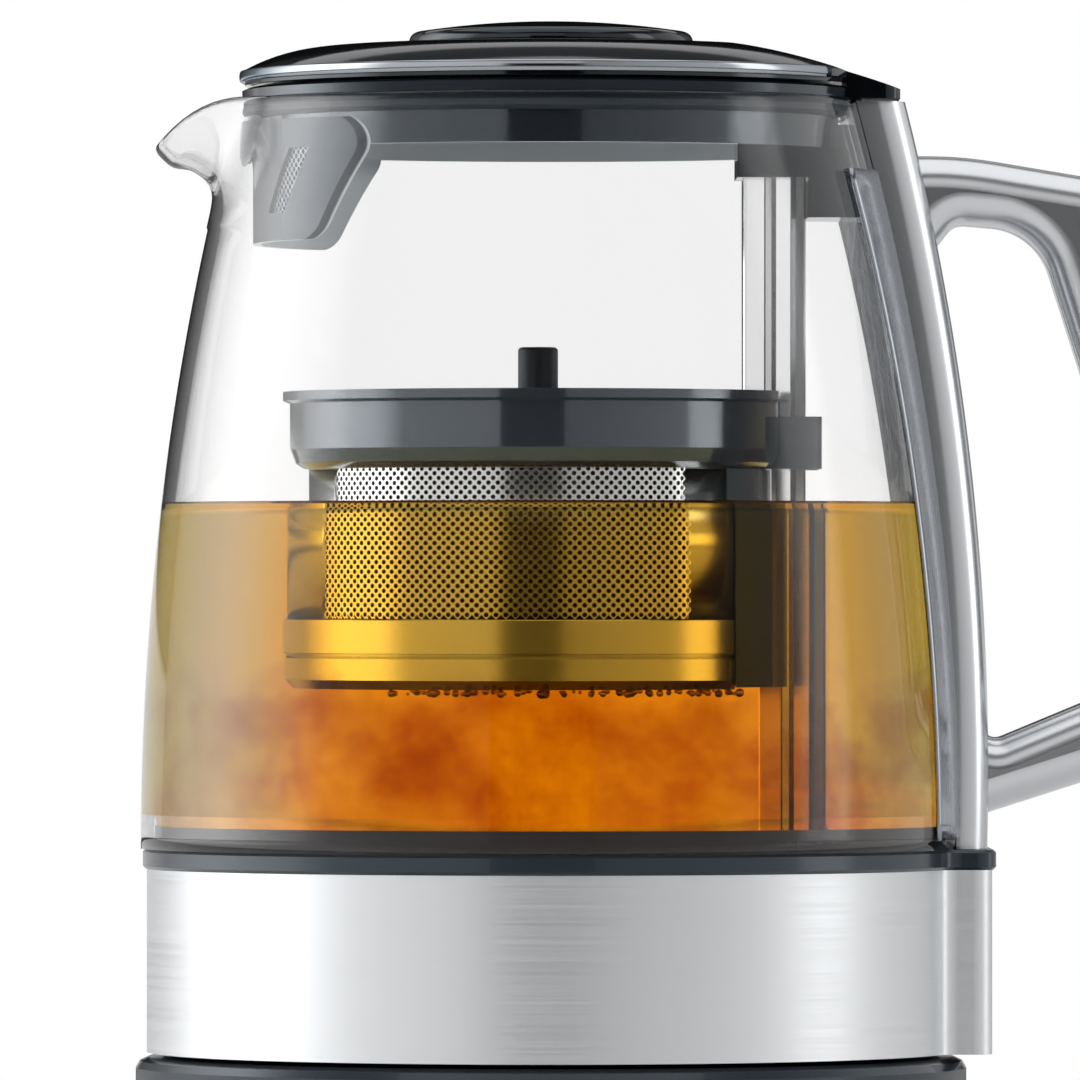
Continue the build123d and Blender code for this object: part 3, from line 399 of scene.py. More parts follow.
def metal(name, colour, roughness, brush_mm=None, brush=0.3, around=True, spread=0.08):
    """Bare metal; brushed metal gets fine lines that run around the part, or up and down it."""
    material, tree, output = new_material(name)
    body = node(tree, "ShaderNodeBsdfPrincipled", Base_Color=srgb(colour), Metallic=1.0, Roughness=roughness)
    if brush_mm:
        spot = node(tree, "ShaderNodeTexCoord")
        with_line, across = 6.0, 1000.0 / brush_mm
        stretch = (with_line, with_line, across) if around else (across, across, with_line)
        run = node(tree, "ShaderNodeMapping", Vector=spot.outputs["Object"], Scale=stretch)
        line = node(tree, "ShaderNodeTexNoise", Vector=run.outputs[0], Scale=1.0, Detail=3.0)
        rough = node(tree, "ShaderNodeMapRange", _0=line.outputs["Fac"], _1=0.3, _2=0.7,
                     _3=max(roughness - spread, 0.03), _4=roughness + spread)
        bump = node(tree, "ShaderNodeBump", Strength=brush, Distance=0.00005, Height=line.outputs["Fac"])
        tree.links.new(rough.outputs[0], body.inputs["Roughness"])
        tree.links.new(bump.outputs[0], body.inputs["Normal"])
    tree.links.new(body.outputs[0], output.inputs["Surface"])
    return material


brushed_wrap = metal("stainless_brushed_around", "#dcdee0", 0.38, brush_mm=0.4, brush=0.06, spread=0.05)
post_steel = metal("stainless_drawn_tube", "#f2f2f3", 0.16)
sheet_steel = metal("stainless_sheet_satin", "#d6d6d3", 0.2)
polished = metal("polished_cast_metal", "#d6d8db", 0.24)
plated = metal("zinc_plated_steel", "#a9abb0", 0.3)
plate_satin = metal("stainless_plate_bead_blasted", "#dededb", 0.5)
dress(["jug_steel_band", "base_shell"], brushed_wrap)
dress(["basket_base", "basket_floor"], sheet_steel)
dress(["heater_plate"], plate_satin)
dress(["handle"], polished)
dress(["handle_screws", "lid_screws", "base_screws", "lead_screw", "lift_motor", "temperature_sensor",
       "heating_element", "basket_magnet"], plated)

# ---------------------------------------------------------------------------
# Lift post: stainless tube drawn to a ribbed oblong, standing in the floor plate
# and closed by the grey cap. Its folds split the mirror image into upright bands.
# ---------------------------------------------------------------------------
POST_PLAN = ((0.0383, -0.0064), (0.0385, -0.0067), (0.0390, -0.0068), (0.0424, -0.0078), (0.0427, -0.0078),
             (0.0438, -0.0075), (0.0439, -0.0072), (0.0448, -0.0072), (0.0449, -0.0074), (0.0476, -0.0081),
             (0.0478, -0.0081), (0.0486, -0.0075), (0.0488, -0.0074), (0.0503, -0.0074), (0.0507, -0.0068))

post_low, post_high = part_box("post_tube")
plan = POST_PLAN + tuple((x, -y) for x, y in reversed(POST_PLAN))
count = len(plan)
verts = [(x, y, z) for z in (post_low[2], post_high[2]) for x, y in plan]
faces = wrap_faces(2, count) + [tuple(range(count)), tuple(range(count, 2 * count))]
post_ribbed = add_mesh("post_ribbed_tube", verts, faces, post_steel, smooth=False)
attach(post_ribbed, "jug")
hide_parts("post_tube")

# ---------------------------------------------------------------------------
# Spine strap: polished casting that lies against the glass from the foot to the
# lid, flat on the outside with rounded edges, and holds both ends of the handle.
# ---------------------------------------------------------------------------
STRAP_HALF, STRAP_ROUND, STRAP_GAP, STRAP_ROWS, STRAP_ARC_STEPS = 0.0160, 0.0058, 0.0001, 48, 8
STRAP_FOOT, STRAP_MIDDLE, STRAP_TOP = (0.0869, 0.0981), (0.0844, 0.1676), (0.0705, 0.2468)


def arc_through(p, q, s):
    """Centre and radius of the circle through three points."""
    a, b, c = Vector(p), Vector(q), Vector(s)
    d = 2 * (a.x * (b.y - c.y) + b.x * (c.y - a.y) + c.x * (a.y - b.y))
    x = (a.dot(a) * (b.y - c.y) + b.dot(b) * (c.y - a.y) + c.dot(c) * (a.y - b.y)) / d
    y = (a.dot(a) * (c.x - b.x) + b.dot(b) * (a.x - c.x) + c.dot(c) * (b.x - a.x)) / d
    return x, y, math.dist((x, y), p)


def crisp(mesh, angle=0.5):
    """Keep the edges between faces that meet at more than an angle sharp in a smooth mesh."""
    tidy = bmesh.new()
    tidy.from_mesh(mesh)
    for edge in tidy.edges:
        edge.smooth = not (edge.is_manifold and edge.calc_face_angle() > angle)
    tidy.to_mesh(mesh)
    tidy.free()


bow_x, bow_z, bow_r = arc_through(STRAP_FOOT, STRAP_MIDDLE, STRAP_TOP)
verts = []
for row in range(STRAP_ROWS + 1):
    z = STRAP_FOOT[1] + (STRAP_TOP[1] - STRAP_FOOT[1]) * row / STRAP_ROWS
    face_x = bow_x + math.sqrt(bow_r ** 2 - (z - bow_z) ** 2)
    back_r = glass_radius(z) + STRAP_GAP
    section = []
    for k in range(STRAP_ARC_STEPS + 1):
        y = STRAP_HALF * (1 - 2 * k / STRAP_ARC_STEPS)
        section.append((math.sqrt(back_r ** 2 - y ** 2), y))
    for side in (-1, 1):
        for k in range(STRAP_ARC_STEPS + 1)[::-side]:
            a = math.pi / 2 * k / STRAP_ARC_STEPS
            section.append((face_x - STRAP_ROUND * (1 - math.sin(a)),
                            side * (STRAP_HALF - STRAP_ROUND * (1 - math.cos(a)))))
    verts += [(x, y, z) for x, y in section]
width = len(verts) // (STRAP_ROWS + 1)
faces = wrap_faces(STRAP_ROWS + 1, width)
faces += [tuple(range(width)), tuple(range(STRAP_ROWS * width, (STRAP_ROWS + 1) * width))]
strap_rounded = add_mesh("strap_rounded", verts, faces, polished)
crisp(strap_rounded.data)
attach(strap_rounded, "jug")
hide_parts("spine_strap")

# ---------------------------------------------------------------------------
# Spine plate: thin steel sheet curved to the glass and clamped under the strap.
# Seen through the jug, it is the streaky dark edge beside the handle.
# ---------------------------------------------------------------------------
PLATE_HALF, PLATE_Z0, PLATE_Z1, PLATE_GAP, PLATE_T = 0.0310, 0.1000, 0.2330, 0.0002, 0.0006
PLATE_ROWS, PLATE_COLUMNS = 40, 30
plate_steel = metal("steel_sheet_grey_satin", "#9a9ea3", 0.22, brush_mm=0.6, around=False, brush=0.05)
verts = []
for offset in (PLATE_GAP, PLATE_GAP + PLATE_T):
    for row in range(PLATE_ROWS + 1):
        z = PLATE_Z0 + (PLATE_Z1 - PLATE_Z0) * row / PLATE_ROWS
        for column in range(PLATE_COLUMNS + 1):
            reach = math.asin(PLATE_HALF / glass_radius(z)) * (2 * column / PLATE_COLUMNS - 1)
            r = glass_radius(z) + offset
            verts.append((r * math.cos(reach), r * math.sin(reach), z))
layer, width = (PLATE_ROWS + 1) * (PLATE_COLUMNS + 1), PLATE_COLUMNS + 1
faces = []
for row in range(PLATE_ROWS):
    for column in range(PLATE_COLUMNS):
        a = row * width + column
        faces.append((a, a + width, a + width + 1, a + 1))
        faces.append((layer + a, layer + a + 1, layer + a + width + 1, layer + a + width))
for row in range(PLATE_ROWS):
    for a in (row * width, row * width + PLATE_COLUMNS):
        faces.append((a, a + width, layer + a + width, layer + a))
for column in range(PLATE_COLUMNS):
    for a in (column, PLATE_ROWS * width + column):
        faces.append((a, a + 1, layer + a + 1, layer + a))
spine_plate = add_mesh("spine_plate", verts, faces, plate_steel)
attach(spine_plate, "jug")

# ---------------------------------------------------------------------------
# Basket sleeve: 0.6 mm stainless sheet rolled to a tube, punched with two
# fields of 1 mm holes in staggered rows, plain at both ends and beside the post.
# ---------------------------------------------------------------------------
BASKET_X, SLEEVE_R, SLEEVE_WALL = -0.0026, 0.0458, 0.0006
FIELD_Z0, FIELD_Z1, SLEEVE_Z0, SLEEVE_Z1 = 0.1434, 0.1734, 0.1412, 0.1856
HOLE_R, PITCH = 0.00048, 0.00187
FIELD_COLUMNS, FIELD_ROWS, FIELD_MIDDLE, FIELD_LAP = 42, 16, math.radians(101), 0.004
NOTCH_X = 0.0343


def punched_cell(pitch, hole_r, wall):
    """One diamond of sheet with a hole: both faces and the hole's wall.

    Points 0 to 7 are the border and 8 to 15 the hole; the same on the back are 16 to 31.
    """
    corner = [(pitch / 2, 0), (0, pitch / 2), (-pitch / 2, 0), (0, -pitch / 2)]
    border = []
    for k in range(4):
        a, b = corner[k], corner[(k + 1) % 4]
        border += [a, ((a[0] + b[0]) / 2, (a[1] + b[1]) / 2)]
    hole = [(hole_r * math.cos(math.pi * k / 4), hole_r * math.sin(math.pi * k / 4)) for k in range(8)]
    points = [(x, y, 0.0) for x, y in border + hole] + [(x, y, -wall) for x, y in border + hole]
    quads = []
    for k in range(8):
        n = (k + 1) % 8
        quads.append((k, n, 8 + n, 8 + k))
        quads.append((16 + n, 16 + k, 24 + k, 24 + n))
        quads.append((8 + k, 8 + n, 24 + n, 24 + k))
    return points, quads


def wrapped_sheet_tree():
    """Node tree: staggered copies of a cell, bent round a vertical cylinder."""
    tree = bpy.data.node_groups.new("punched_sheet", "GeometryNodeTree")
    face = tree.interface
    face.new_socket("Geometry", in_out="INPUT", socket_type="NodeSocketGeometry")
    for label, kind in (("Columns", "Int"), ("Rows", "Int"), ("Pitch", "Float"), ("Radius", "Float"),
                        ("Middle Angle", "Float"), ("Bottom", "Float"), ("Axis X", "Float")):
        face.new_socket(label, in_out="INPUT", socket_type=f"NodeSocket{kind}")
    face.new_socket("Finish", in_out="INPUT", socket_type="NodeSocketMaterial")
    face.new_socket("Geometry", in_out="OUTPUT", socket_type="NodeSocketGeometry")
    given = node(tree, "NodeGroupInput").outputs

    def maths(kind, a, b):
        return node(tree, "ShaderNodeMath", {"operation": kind}, _0=a, _1=b).outputs[0]

    width = maths("MULTIPLY", maths("SUBTRACT", given["Columns"], 1.0), given["Pitch"])
    height = maths("MULTIPLY", maths("SUBTRACT", given["Rows"], 1.0), given["Pitch"])
    grid = node(tree, "GeometryNodeMeshGrid", Size_X=width, Size_Y=height, Vertices_X=given["Columns"],
                Vertices_Y=given["Rows"])
    half = maths("MULTIPLY", given["Pitch"], 0.5)
    shift = node(tree, "ShaderNodeCombineXYZ", X=half, Y=half)
    second = node(tree, "GeometryNodeTransform", Geometry=grid.outputs["Mesh"], Translation=shift.outputs[0])
    both = node(tree, "GeometryNodeJoinGeometry")
    tree.links.new(grid.outputs["Mesh"], both.inputs[0])
    tree.links.new(second.outputs[0], both.inputs[0])
    copies = node(tree, "GeometryNodeInstanceOnPoints", Points=both.outputs[0], Instance=given["Geometry"])
    real = node(tree, "GeometryNodeRealizeInstances", Geometry=copies.outputs[0])
    joined = node(tree, "GeometryNodeMergeByDistance", Geometry=real.outputs[0], Distance=2e-5)
    spot = node(tree, "ShaderNodeSeparateXYZ", Vector=node(tree, "GeometryNodeInputPosition").outputs[0])
    angle = maths("ADD", maths("DIVIDE", spot.outputs["X"], given["Radius"]), given["Middle Angle"])
    radius = maths("ADD", spot.outputs["Z"], given["Radius"])
    rise = maths("ADD", maths("ADD", spot.outputs["Y"], maths("MULTIPLY", height, 0.5)), given["Bottom"])
    bent = node(tree, "ShaderNodeCombineXYZ",
                X=maths("ADD", maths("MULTIPLY", radius, maths("COSINE", angle, 0.0)), given["Axis X"]),
                Y=maths("MULTIPLY", radius, maths("SINE", angle, 0.0)), Z=rise)
    placed = node(tree, "GeometryNodeSetPosition", Geometry=joined.outputs[0], Position=bent.outputs[0])
    done = node(tree, "GeometryNodeSetMaterial", Geometry=placed.outputs[0], Material=given["Finish"])
    node(tree, "NodeGroupOutput", Geometry=done.outputs[0])
    return tree


punched_tree = wrapped_sheet_tree()


def repeated(seed, tree, **sizes):
    """Plain mesh that a node tree makes of a seed object; sizes are the tree's named inputs."""
    repeat = seed.modifiers.new("repeat", "NODES")
    repeat.node_group = tree
    for item in tree.interface.items_tree:
        label = item.name.replace(" ", "_")
        if label in sizes and item.in_out == "INPUT":
            repeat[item.identifier] = sizes[label]
    bpy.context.view_layer.update()
    mesh = bpy.data.meshes.new_from_object(seed.evaluated_get(bpy.context.evaluated_depsgraph_get()))
    bpy.data.objects.remove(seed)
    return mesh


def punched_field(name, body, finish, hole_r, wall, **sizes):
    """Object of one field of holes that rides on a body."""
    cell_points, cell_quads = punched_cell(sizes["Pitch"], hole_r, wall)
    cell = add_mesh(name + "_cell", cell_points, cell_quads, finish, smooth=False)
    made = put_in_scene(name, repeated(cell, punched_tree, Finish=finish, **sizes))
    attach(made, body)
    return made


for name, turn in (("sleeve_holes_front", -FIELD_MIDDLE), ("sleeve_holes_rear", FIELD_MIDDLE)):
    field = punched_field(name, "basket", sheet_steel, HOLE_R, SLEEVE_WALL, Columns=FIELD_COLUMNS,
                          Rows=FIELD_ROWS, Pitch=PITCH, Radius=SLEEVE_R, Middle_Angle=turn,
                          Bottom=FIELD_Z0 + PITCH / 2, Axis_X=BASKET_X)
    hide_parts("basket_sleeve")


def plain_sheet(name, start, sweep, z0, z1, steps, r=SLEEVE_R, wall=SLEEVE_WALL, finish=sheet_steel):
    """Part of a round wall between two heights, closed all round, that rides on the basket."""
    ring = [(r, z0), (r, z1), (r - wall, z1), (r - wall, z0), (r, z0)]
    points, quads = lathe(ring, steps, BASKET_X, start, sweep)
    close_ends(quads, 4, steps)
    made = add_mesh(name, points, quads, finish)
    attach(made, "basket")


notch_angle = math.acos((NOTCH_X - BASKET_X) / SLEEVE_R)
field_edge = FIELD_COLUMNS * PITCH / SLEEVE_R / 2 - FIELD_LAP
front_low, front_high = -FIELD_MIDDLE - field_edge, -FIELD_MIDDLE + field_edge
strips = [
    ("sleeve_foot_band", notch_angle, 2 * math.pi - 2 * notch_angle, SLEEVE_Z0, FIELD_Z0, 150),
    ("sleeve_top_band", notch_angle, 2 * math.pi - 2 * notch_angle, FIELD_Z1, SLEEVE_Z1, 150),
    ("sleeve_strip_front", front_high, -notch_angle - front_high, FIELD_Z0, FIELD_Z1, 24),
    ("sleeve_strip_rear", notch_angle, -notch_angle - front_high, FIELD_Z0, FIELD_Z1, 24),
    ("sleeve_strip_spout", -front_low, 2 * math.pi + 2 * front_low, FIELD_Z0, FIELD_Z1, 40),
]
for strip in strips:
    plain_sheet(*strip)

# A fine woven liner lies against the sheet inside; its wires are too fine to draw, so the
# holes look dark instead of letting the light through.
LINER_GAP, LINER_WALL, LINER_SHORT, LINER_STEPS = 0.0001, 0.0002, 0.02, 120
liner_mesh = moulded("woven_steel_liner_wet", "#2b2219", 0.5, grain_mm=0.3, grain=0.2)
plain_sheet("sleeve_liner", notch_angle + LINER_SHORT, 2 * math.pi - 2 * notch_angle - 2 * LINER_SHORT,
            SLEEVE_Z0, SLEEVE_Z1, LINER_STEPS, SLEEVE_R - SLEEVE_WALL - LINER_GAP, LINER_WALL, liner_mesh)

# ---------------------------------------------------------------------------
# Filter mesh: two punched stainless inserts moulded into the spout flap; their
# edges are buried in the flap's wall and only the slanted windows show them.
# ---------------------------------------------------------------------------
MESH_R, MESH_WALL, MESH_PITCH, MESH_HOLE_R = 0.0590, 0.0004, 0.0017, 0.0005
MESH_COLUMNS, MESH_ROWS, MESH_MIDDLE_Z, MESH_TURN = 12, 9, 0.2303, math.radians(149.6)
mesh_steel = metal("stainless_mesh_dull", "#7d848a", 0.35)
for name, turn in (("filter_holes_front", -MESH_TURN), ("filter_holes_rear", MESH_TURN)):
    field = punched_field(name, "lid", mesh_steel, MESH_HOLE_R, MESH_WALL, Columns=MESH_COLUMNS,
                          Rows=MESH_ROWS, Pitch=MESH_PITCH, Radius=MESH_R, Middle_Angle=turn, Axis_X=0.0,
                          Bottom=MESH_MIDDLE_Z - (MESH_ROWS - 0.5) * MESH_PITCH / 2)
    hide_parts("filter_mesh")

# ---------------------------------------------------------------------------
# Beads: air that clings under the edge of the basket's pan while it brews, and
# drops of tea that hang in the same places when the motor lifts it clear.
# ---------------------------------------------------------------------------
BEAD_Z, BEAD_START, BEAD_SWEEP = 0.1291, math.radians(-128), math.radians(96)


def bead_string_tree():
    """Node tree: spheres of uneven size along an arc, each a little off the line."""
    tree = bpy.data.node_groups.new("bead_string", "GeometryNodeTree")
    face = tree.interface
    face.new_socket("Geometry", in_out="INPUT", socket_type="NodeSocketGeometry")
    for label, kind in (("Count", "Int"), ("Radius", "Float"), ("Start", "Float"), ("Sweep", "Float"),
                        ("Stray", "Float"), ("Smallest", "Float"), ("Largest", "Float"), ("Seed", "Int")):
        face.new_socket(label, in_out="INPUT", socket_type=f"NodeSocket{kind}")
    face.new_socket("Finish", in_out="INPUT", socket_type="NodeSocketMaterial")
    face.new_socket("Geometry", in_out="OUTPUT", socket_type="NodeSocketGeometry")
    given = node(tree, "NodeGroupInput").outputs
    line = node(tree, "GeometryNodeCurveArc", Resolution=given["Count"], Radius=given["Radius"],
                Start_Angle=given["Start"], Sweep_Angle=given["Sweep"])
    low = node(tree, "ShaderNodeVectorMath", {"operation": "SCALE"}, _0=(-1.0, -1.0, -0.3),
               Scale=given["Stray"])
    high = node(tree, "ShaderNodeVectorMath", {"operation": "SCALE"}, _0=(1.0, 1.0, 0.3),
                Scale=given["Stray"])
    shift = node(tree, "FunctionNodeRandomValue", {"data_type": "FLOAT_VECTOR"}, _0=low.outputs[0],
                 _1=high.outputs[0], Seed=given["Seed"])
    spread = node(tree, "GeometryNodeSetPosition", Geometry=line.outputs[0], Offset=shift.outputs[0])
    bead = node(tree, "GeometryNodeMeshUVSphere", Segments=12, Rings=8, Radius=1.0)
    size = node(tree, "FunctionNodeRandomValue", {"data_type": "FLOAT"}, _2=given["Smallest"],
                _3=given["Largest"], Seed=given["Seed"])
    beads = node(tree, "GeometryNodeInstanceOnPoints", Points=spread.outputs[0], Instance=bead.outputs[0],
                 Scale=size.outputs[1])
    real = node(tree, "GeometryNodeRealizeInstances", Geometry=beads.outputs[0])
    smooth = node(tree, "GeometryNodeSetShadeSmooth", Geometry=real.outputs[0])
    done = node(tree, "GeometryNodeSetMaterial", Geometry=smooth.outputs[0], Material=given["Finish"])
    node(tree, "NodeGroupOutput", Geometry=done.outputs[0])
    return tree


bead_clear = see_through("bead_on_wet_steel", srgb("#c8b48c"), 1.33, srgb("#c8b080"), mirror=1.0)[0]
bead_seed = add_mesh("bead_seed", [(0, 0, 0)], [], bead_clear)
beads = repeated(bead_seed, bead_string_tree(), Count=70, Radius=0.0442, Start=BEAD_START, Sweep=BEAD_SWEEP,
                 Stray=0.0012, Smallest=0.00025, Largest=0.0009, Seed=7, Finish=bead_clear)
for vertex in beads.vertices:
    vertex.co.x += BASKET_X
    vertex.co.z += BEAD_Z
pan_bubbles = put_in_scene("pan_bubbles", beads)
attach(pan_bubbles, "basket")

# ---------------------------------------------------------------------------
# Controls: satin aluminium caps on the buttons, a smoked acrylic window over a lit
# display, lacquered circuit boards behind them, and the acetal carriage in the post.
# ---------------------------------------------------------------------------
button_metal = metal("aluminium_satin_cap", "#b9bcc0", 0.32)
dress([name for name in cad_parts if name.endswith("_button")], button_metal)
window_smoke = see_through("smoked_acrylic", srgb("#b4bac0"), 1.49, srgb("#c8ccd0"), mirror=1.0)[0]
dress(["lcd_window"], window_smoke)
display = moulded("display_glass", "#b9c8c8", 0.3)
display_sockets = display.node_tree.nodes["Principled BSDF"].inputs
display_sockets["Emission Color"].default_value = srgb("#a9c4cc")
display_sockets["Emission Strength"].default_value = 0.45
dress(["lcd_module"], display)

# The display shows a temperature and a time as plain seven-segment numbers.
DISPLAY_Y, STROKE, SEGMENT_T, SEGMENT_GAP, SEGMENT_SINK = -0.0774, 0.0011, 0.00012, 0.0002, 0.00002
LARGE, SMALL = (0.0288, 0.0052, 0.0116), (0.0300, 0.0036, 0.0078)  # foot, width and height of a digit
DIGITS = (("9", -0.0180, LARGE), ("5", -0.0102, LARGE), ("3", 0.0010, SMALL), ("0", 0.0082, SMALL),
          ("0", 0.0138, SMALL))
COLON_X, COLON_DOT, COLON_PLACES = 0.0065, 0.0013, (0.0322, 0.0356)
SEGMENTS = {"0": "abcdef", "3": "abcdg", "5": "acdfg", "9": "abcdfg"}


def segment(x, z, length, upright):
    """Corners of one bar with pointed ends, centred at a place on the display."""
    half, tip = STROKE / 2, length / 2
    bar = [(-tip, 0), (-tip + half, half), (tip - half, half), (tip, 0), (tip - half, -half),
           (-tip + half, -half)]
    return [(x + (v if upright else u), z + (u if upright else v)) for u, v in bar]


def digit_bars(sign, x, z, width, height):
    """Bars of one digit whose lower left corner is at x and z."""
    high, wide = height / 2 - SEGMENT_GAP, width - SEGMENT_GAP
    places = {"a": (0.5, 1, wide, False), "g": (0.5, 0.5, wide, False), "d": (0.5, 0, wide, False),
              "f": (0, 0.75, high, True), "b": (1, 0.75, high, True), "e": (0, 0.25, high, True),
              "c": (1, 0.25, high, True)}
    return [segment(x + width * u, z + height * v, length, upright)
            for u, v, length, upright in (places[key] for key in SEGMENTS[sign])]


bars = []
for sign, x, size in DIGITS:
    bars += digit_bars(sign, x, *size)
bars += [segment(COLON_X, z, COLON_DOT, True) for z in COLON_PLACES]
verts, faces = [], []
for bar in bars:
    first, sides = len(verts), len(bar)
    verts += [(x, DISPLAY_Y - depth, z) for depth in (SEGMENT_SINK, SEGMENT_T) for x, z in bar]
    faces.append(tuple(range(first, first + sides)))
    faces.append(tuple(range(first + sides, first + 2 * sides)))
    faces += [tuple(first + corner for corner in quad) for quad in wrap_faces(2, sides)]
display_ink = moulded("liquid_crystal_dark", "#10151a", 0.4)
display_digits = add_mesh("display_digits", verts, faces, display_ink, smooth=False)
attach(display_digits, "base")
board_green = moulded("circuit_board_lacquer", "#1b4d2c", 0.4)
dress(["control_board", "power_board", "switch_carrier"], board_green)
carriage_white = moulded("acetal_white", "#d8d6cc", 0.4)
dress(["magnet_carriage"], carriage_white)

# ---------------------------------------------------------------------------
# Studio: pale worktop on a white sweep. Curved light walls stand at both sides
# with a black flag between them at the front, and a cloth hangs overhead. What
# is seen straight on or through clear glass is the white sweep, from any side.
# ---------------------------------------------------------------------------
WALL_R, WALL_TOP = 3.0, 2.6
LEFT_EDGE, RIGHT_EDGE, WALL_END, REAR_EDGES, REAR_FLAG_EDGES = -17, 12, 140, (145, 215), (140, 220)
FRONT_FLAG_TOP, REAR_LOW_TOP, REAR_FLAG_TOP = 0.85, 0.24, 1.7
CANOPY_HALF, CANOPY_Z = 1.8, 2.7


def unmirrored(tree):
    """1 for a view that no surface has mirrored or scattered, and 0 for all other light."""
    ray = node(tree, "ShaderNodeLightPath").outputs
    seen = node(tree, "ShaderNodeMath", {"operation": "MAXIMUM"}, _0=ray["Is Camera Ray"],
                _1=ray["Is Transmission Ray"])
    turns = node(tree, "ShaderNodeMath", {"operation": "ADD"}, _0=ray["Glossy Depth"],
                 _1=ray["Diffuse Depth"])
    direct = node(tree, "ShaderNodeMath", {"operation": "LESS_THAN"}, _0=turns.outputs[0], _1=0.5)
    return node(tree, "ShaderNodeMath", {"operation": "MULTIPLY"}, _0=seen.outputs[0],
                _1=direct.outputs[0]).outputs[0]


def lit_cloth(name, stops, fade_from=0.75, fade_to=0.2, peak=4.0):
    """Glowing cloth: brightness at shares of its width, fading towards its upper edge."""
    material, tree, output = new_material(name)
    board = node(tree, "ShaderNodeUVMap", {"uv_map": "board"})
    spot = node(tree, "ShaderNodeSeparateXYZ", Vector=board.outputs[0])
    across = node(tree, "ShaderNodeValToRGB", Fac=spot.outputs["X"])
    set_ramp(across.color_ramp, [(share, (level / peak, level / peak, level / peak, 1.0))
                                 for share, level in stops])
    upward = node(tree, "ShaderNodeMapRange", {"interpolation_type": "SMOOTHSTEP"},
                  _0=spot.outputs["Y"], _1=fade_from, _2=1.0, _3=peak, _4=fade_to * peak)
    glow = node(tree, "ShaderNodeEmission", Color=across.outputs["Color"], Strength=upward.outputs[0])
    gone = node(tree, "ShaderNodeBsdfTransparent")
    mix = node(tree, "ShaderNodeMixShader", Fac=unmirrored(tree), _1=glow.outputs[0], _2=gone.outputs[0])
    tree.links.new(mix.outputs[0], output.inputs["Surface"])
    return material


def stage_wall(name, start, end, z0, z1, material, steps=40):
    """Upright curved wall; its azimuths are in degrees from the front, counted to the right."""
    points, quads = [], []
    for k in range(steps + 1):
        a = math.radians(start + (end - start) * k / steps)
        points += [(WALL_R * math.sin(a), -WALL_R * math.cos(a), z) for z in (z0, z1)]
    for k in range(steps):
        quads.append((2 * k, 2 * k + 2, 2 * k + 3, 2 * k + 1))
    mesh = bpy.data.meshes.new(name)
    mesh.from_pydata(points, [], quads)
    mesh.materials.append(material)
    spots = mesh.uv_layers.new(name="board")
    for loop, corner in zip(spots.data, mesh.loops):
        loop.uv = (corner.vertex_index // 2 / steps, corner.vertex_index % 2)
    put_in_scene(name, mesh)


wall_left = lit_cloth("light_wall_left", ((0.0, 0.95), (0.38, 1.05), (0.5, 3.0), (0.72, 3.4), (0.92, 1.2),
                                          (1.0, 0.6)))
wall_right = lit_cloth("light_wall_right", ((0.0, 0.45), (0.46, 0.85), (0.50, 2.6), (0.60, 2.6), (0.64, 0.9),
                                            (1.0, 0.7)))
bridge = lit_cloth("light_bridge", ((0.0, 0.8), (1.0, 0.8)))
rear = lit_cloth("light_rear", ((0.0, 0.7), (1.0, 0.7)))
rear_low = lit_cloth("light_rear_low", ((0.0, 0.85), (1.0, 0.85)), fade_from=0.9)
overhead = lit_cloth("light_overhead", ((0.0, 1.2), (1.0, 1.2)), fade_to=1.0)
flag = lit_cloth("flag_black", ((0.0, 0.004), (1.0, 0.004)))
rear_flag = lit_cloth("flag_rear_grey", ((0.0, 0.25), (0.25, 0.06), (0.4, 0.004), (0.6, 0.004), (0.8, 0.15),
                                         (1.0, 0.38)))
stage_wall("wall_left", LEFT_EDGE, -WALL_END, 0.0, WALL_TOP, wall_left)
stage_wall("wall_right", RIGHT_EDGE, WALL_END, 0.0, WALL_TOP, wall_right)
stage_wall("flag_front", LEFT_EDGE, RIGHT_EDGE, 0.0, FRONT_FLAG_TOP, flag)
stage_wall("wall_bridge", LEFT_EDGE, RIGHT_EDGE, FRONT_FLAG_TOP, WALL_TOP, bridge)
stage_wall("wall_rear_low", *REAR_FLAG_EDGES, 0.0, REAR_LOW_TOP, rear_low)
stage_wall("flag_rear", *REAR_FLAG_EDGES, REAR_LOW_TOP, REAR_FLAG_TOP, rear_flag)
stage_wall("wall_rear", *REAR_EDGES, REAR_FLAG_TOP, WALL_TOP, rear)
corners = [(x * CANOPY_HALF, y * CANOPY_HALF, CANOPY_Z) for x, y in ((-1, -1), (1, -1), (1, 1), (-1, 1))]
canopy = add_mesh("canopy", corners, [(0, 1, 2, 3)], overhead)

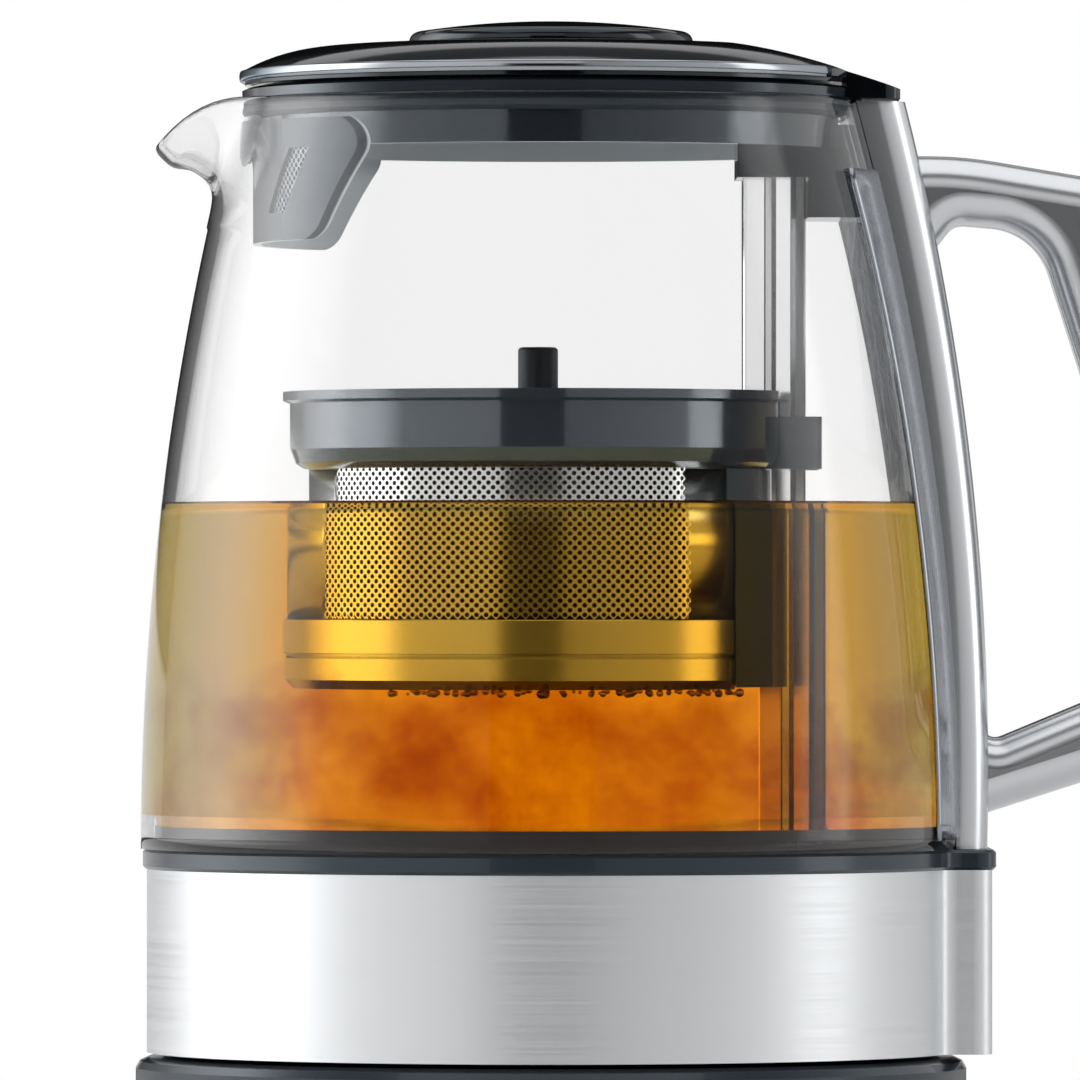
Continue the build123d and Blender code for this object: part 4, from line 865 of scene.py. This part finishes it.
TOP_PROFILE, TOP_FADE_FROM, TOP_FADE_TO = [(0.0, 0.0), (0.7, 0.0), (1.4, 0.0)], 0.35, 1.3
top_white, top_tree, top_output = new_material("worktop_white")
top_body = node(top_tree, "ShaderNodeBsdfPrincipled", Base_Color=srgb("#f4f4f4"), Roughness=0.6)
top_spot = node(top_tree, "ShaderNodeTexCoord")
top_reach = node(top_tree, "ShaderNodeVectorMath", {"operation": "LENGTH"}, _0=top_spot.outputs["Object"])
top_fade = node(top_tree, "ShaderNodeMapRange", {"interpolation_type": "SMOOTHSTEP"},
                _0=top_reach.outputs["Value"], _1=TOP_FADE_FROM, _2=TOP_FADE_TO)
top_share = node(top_tree, "ShaderNodeMath", {"operation": "MULTIPLY"}, _0=top_fade.outputs[0],
                 _1=unmirrored(top_tree))
top_glow = node(top_tree, "ShaderNodeEmission", Strength=1.0)
top_mix = node(top_tree, "ShaderNodeMixShader", Fac=top_share.outputs[0], _1=top_body.outputs[0],
               _2=top_glow.outputs[0])
top_tree.links.new(top_mix.outputs[0], top_output.inputs["Surface"])
points, quads = lathe(TOP_PROFILE, 96)
worktop = add_mesh("worktop", points, quads, top_white)

world = bpy.data.worlds.new("studio_fill")
bpy.context.scene.world = world
world.use_nodes = True
air = world.node_tree
dim = air.nodes["Background"]
dim.inputs["Color"].default_value = srgb("#ffffff")
dim.inputs["Strength"].default_value = 0.12
sweep = node(air, "ShaderNodeBackground", Color=srgb("#ffffff"), Strength=1.0)
both = node(air, "ShaderNodeMixShader", Fac=unmirrored(air), _1=dim.outputs[0], _2=sweep.outputs[0])
air.links.new(both.outputs[0], air.nodes["World Output"].inputs["Surface"])

# The camera is a long lens, a little above the middle of the jug and square to its front.
EYE, LOOK_AT = (-0.0022, -2.632, 0.1436), Vector((-0.0022, 0.0, 0.1596))
camera_data = bpy.data.cameras.new("photo_camera")
camera_data.sensor_width = 36.0
camera_data.lens = 438.7
camera_data.clip_end = 20.0
camera = put_in_scene("photo_camera", camera_data)
camera.location = EYE
camera.rotation_euler = (LOOK_AT - camera.location).to_track_quat("-Z", "Y").to_euler()
bpy.context.scene.camera = camera
bpy.context.scene.view_settings.view_transform = "Standard"
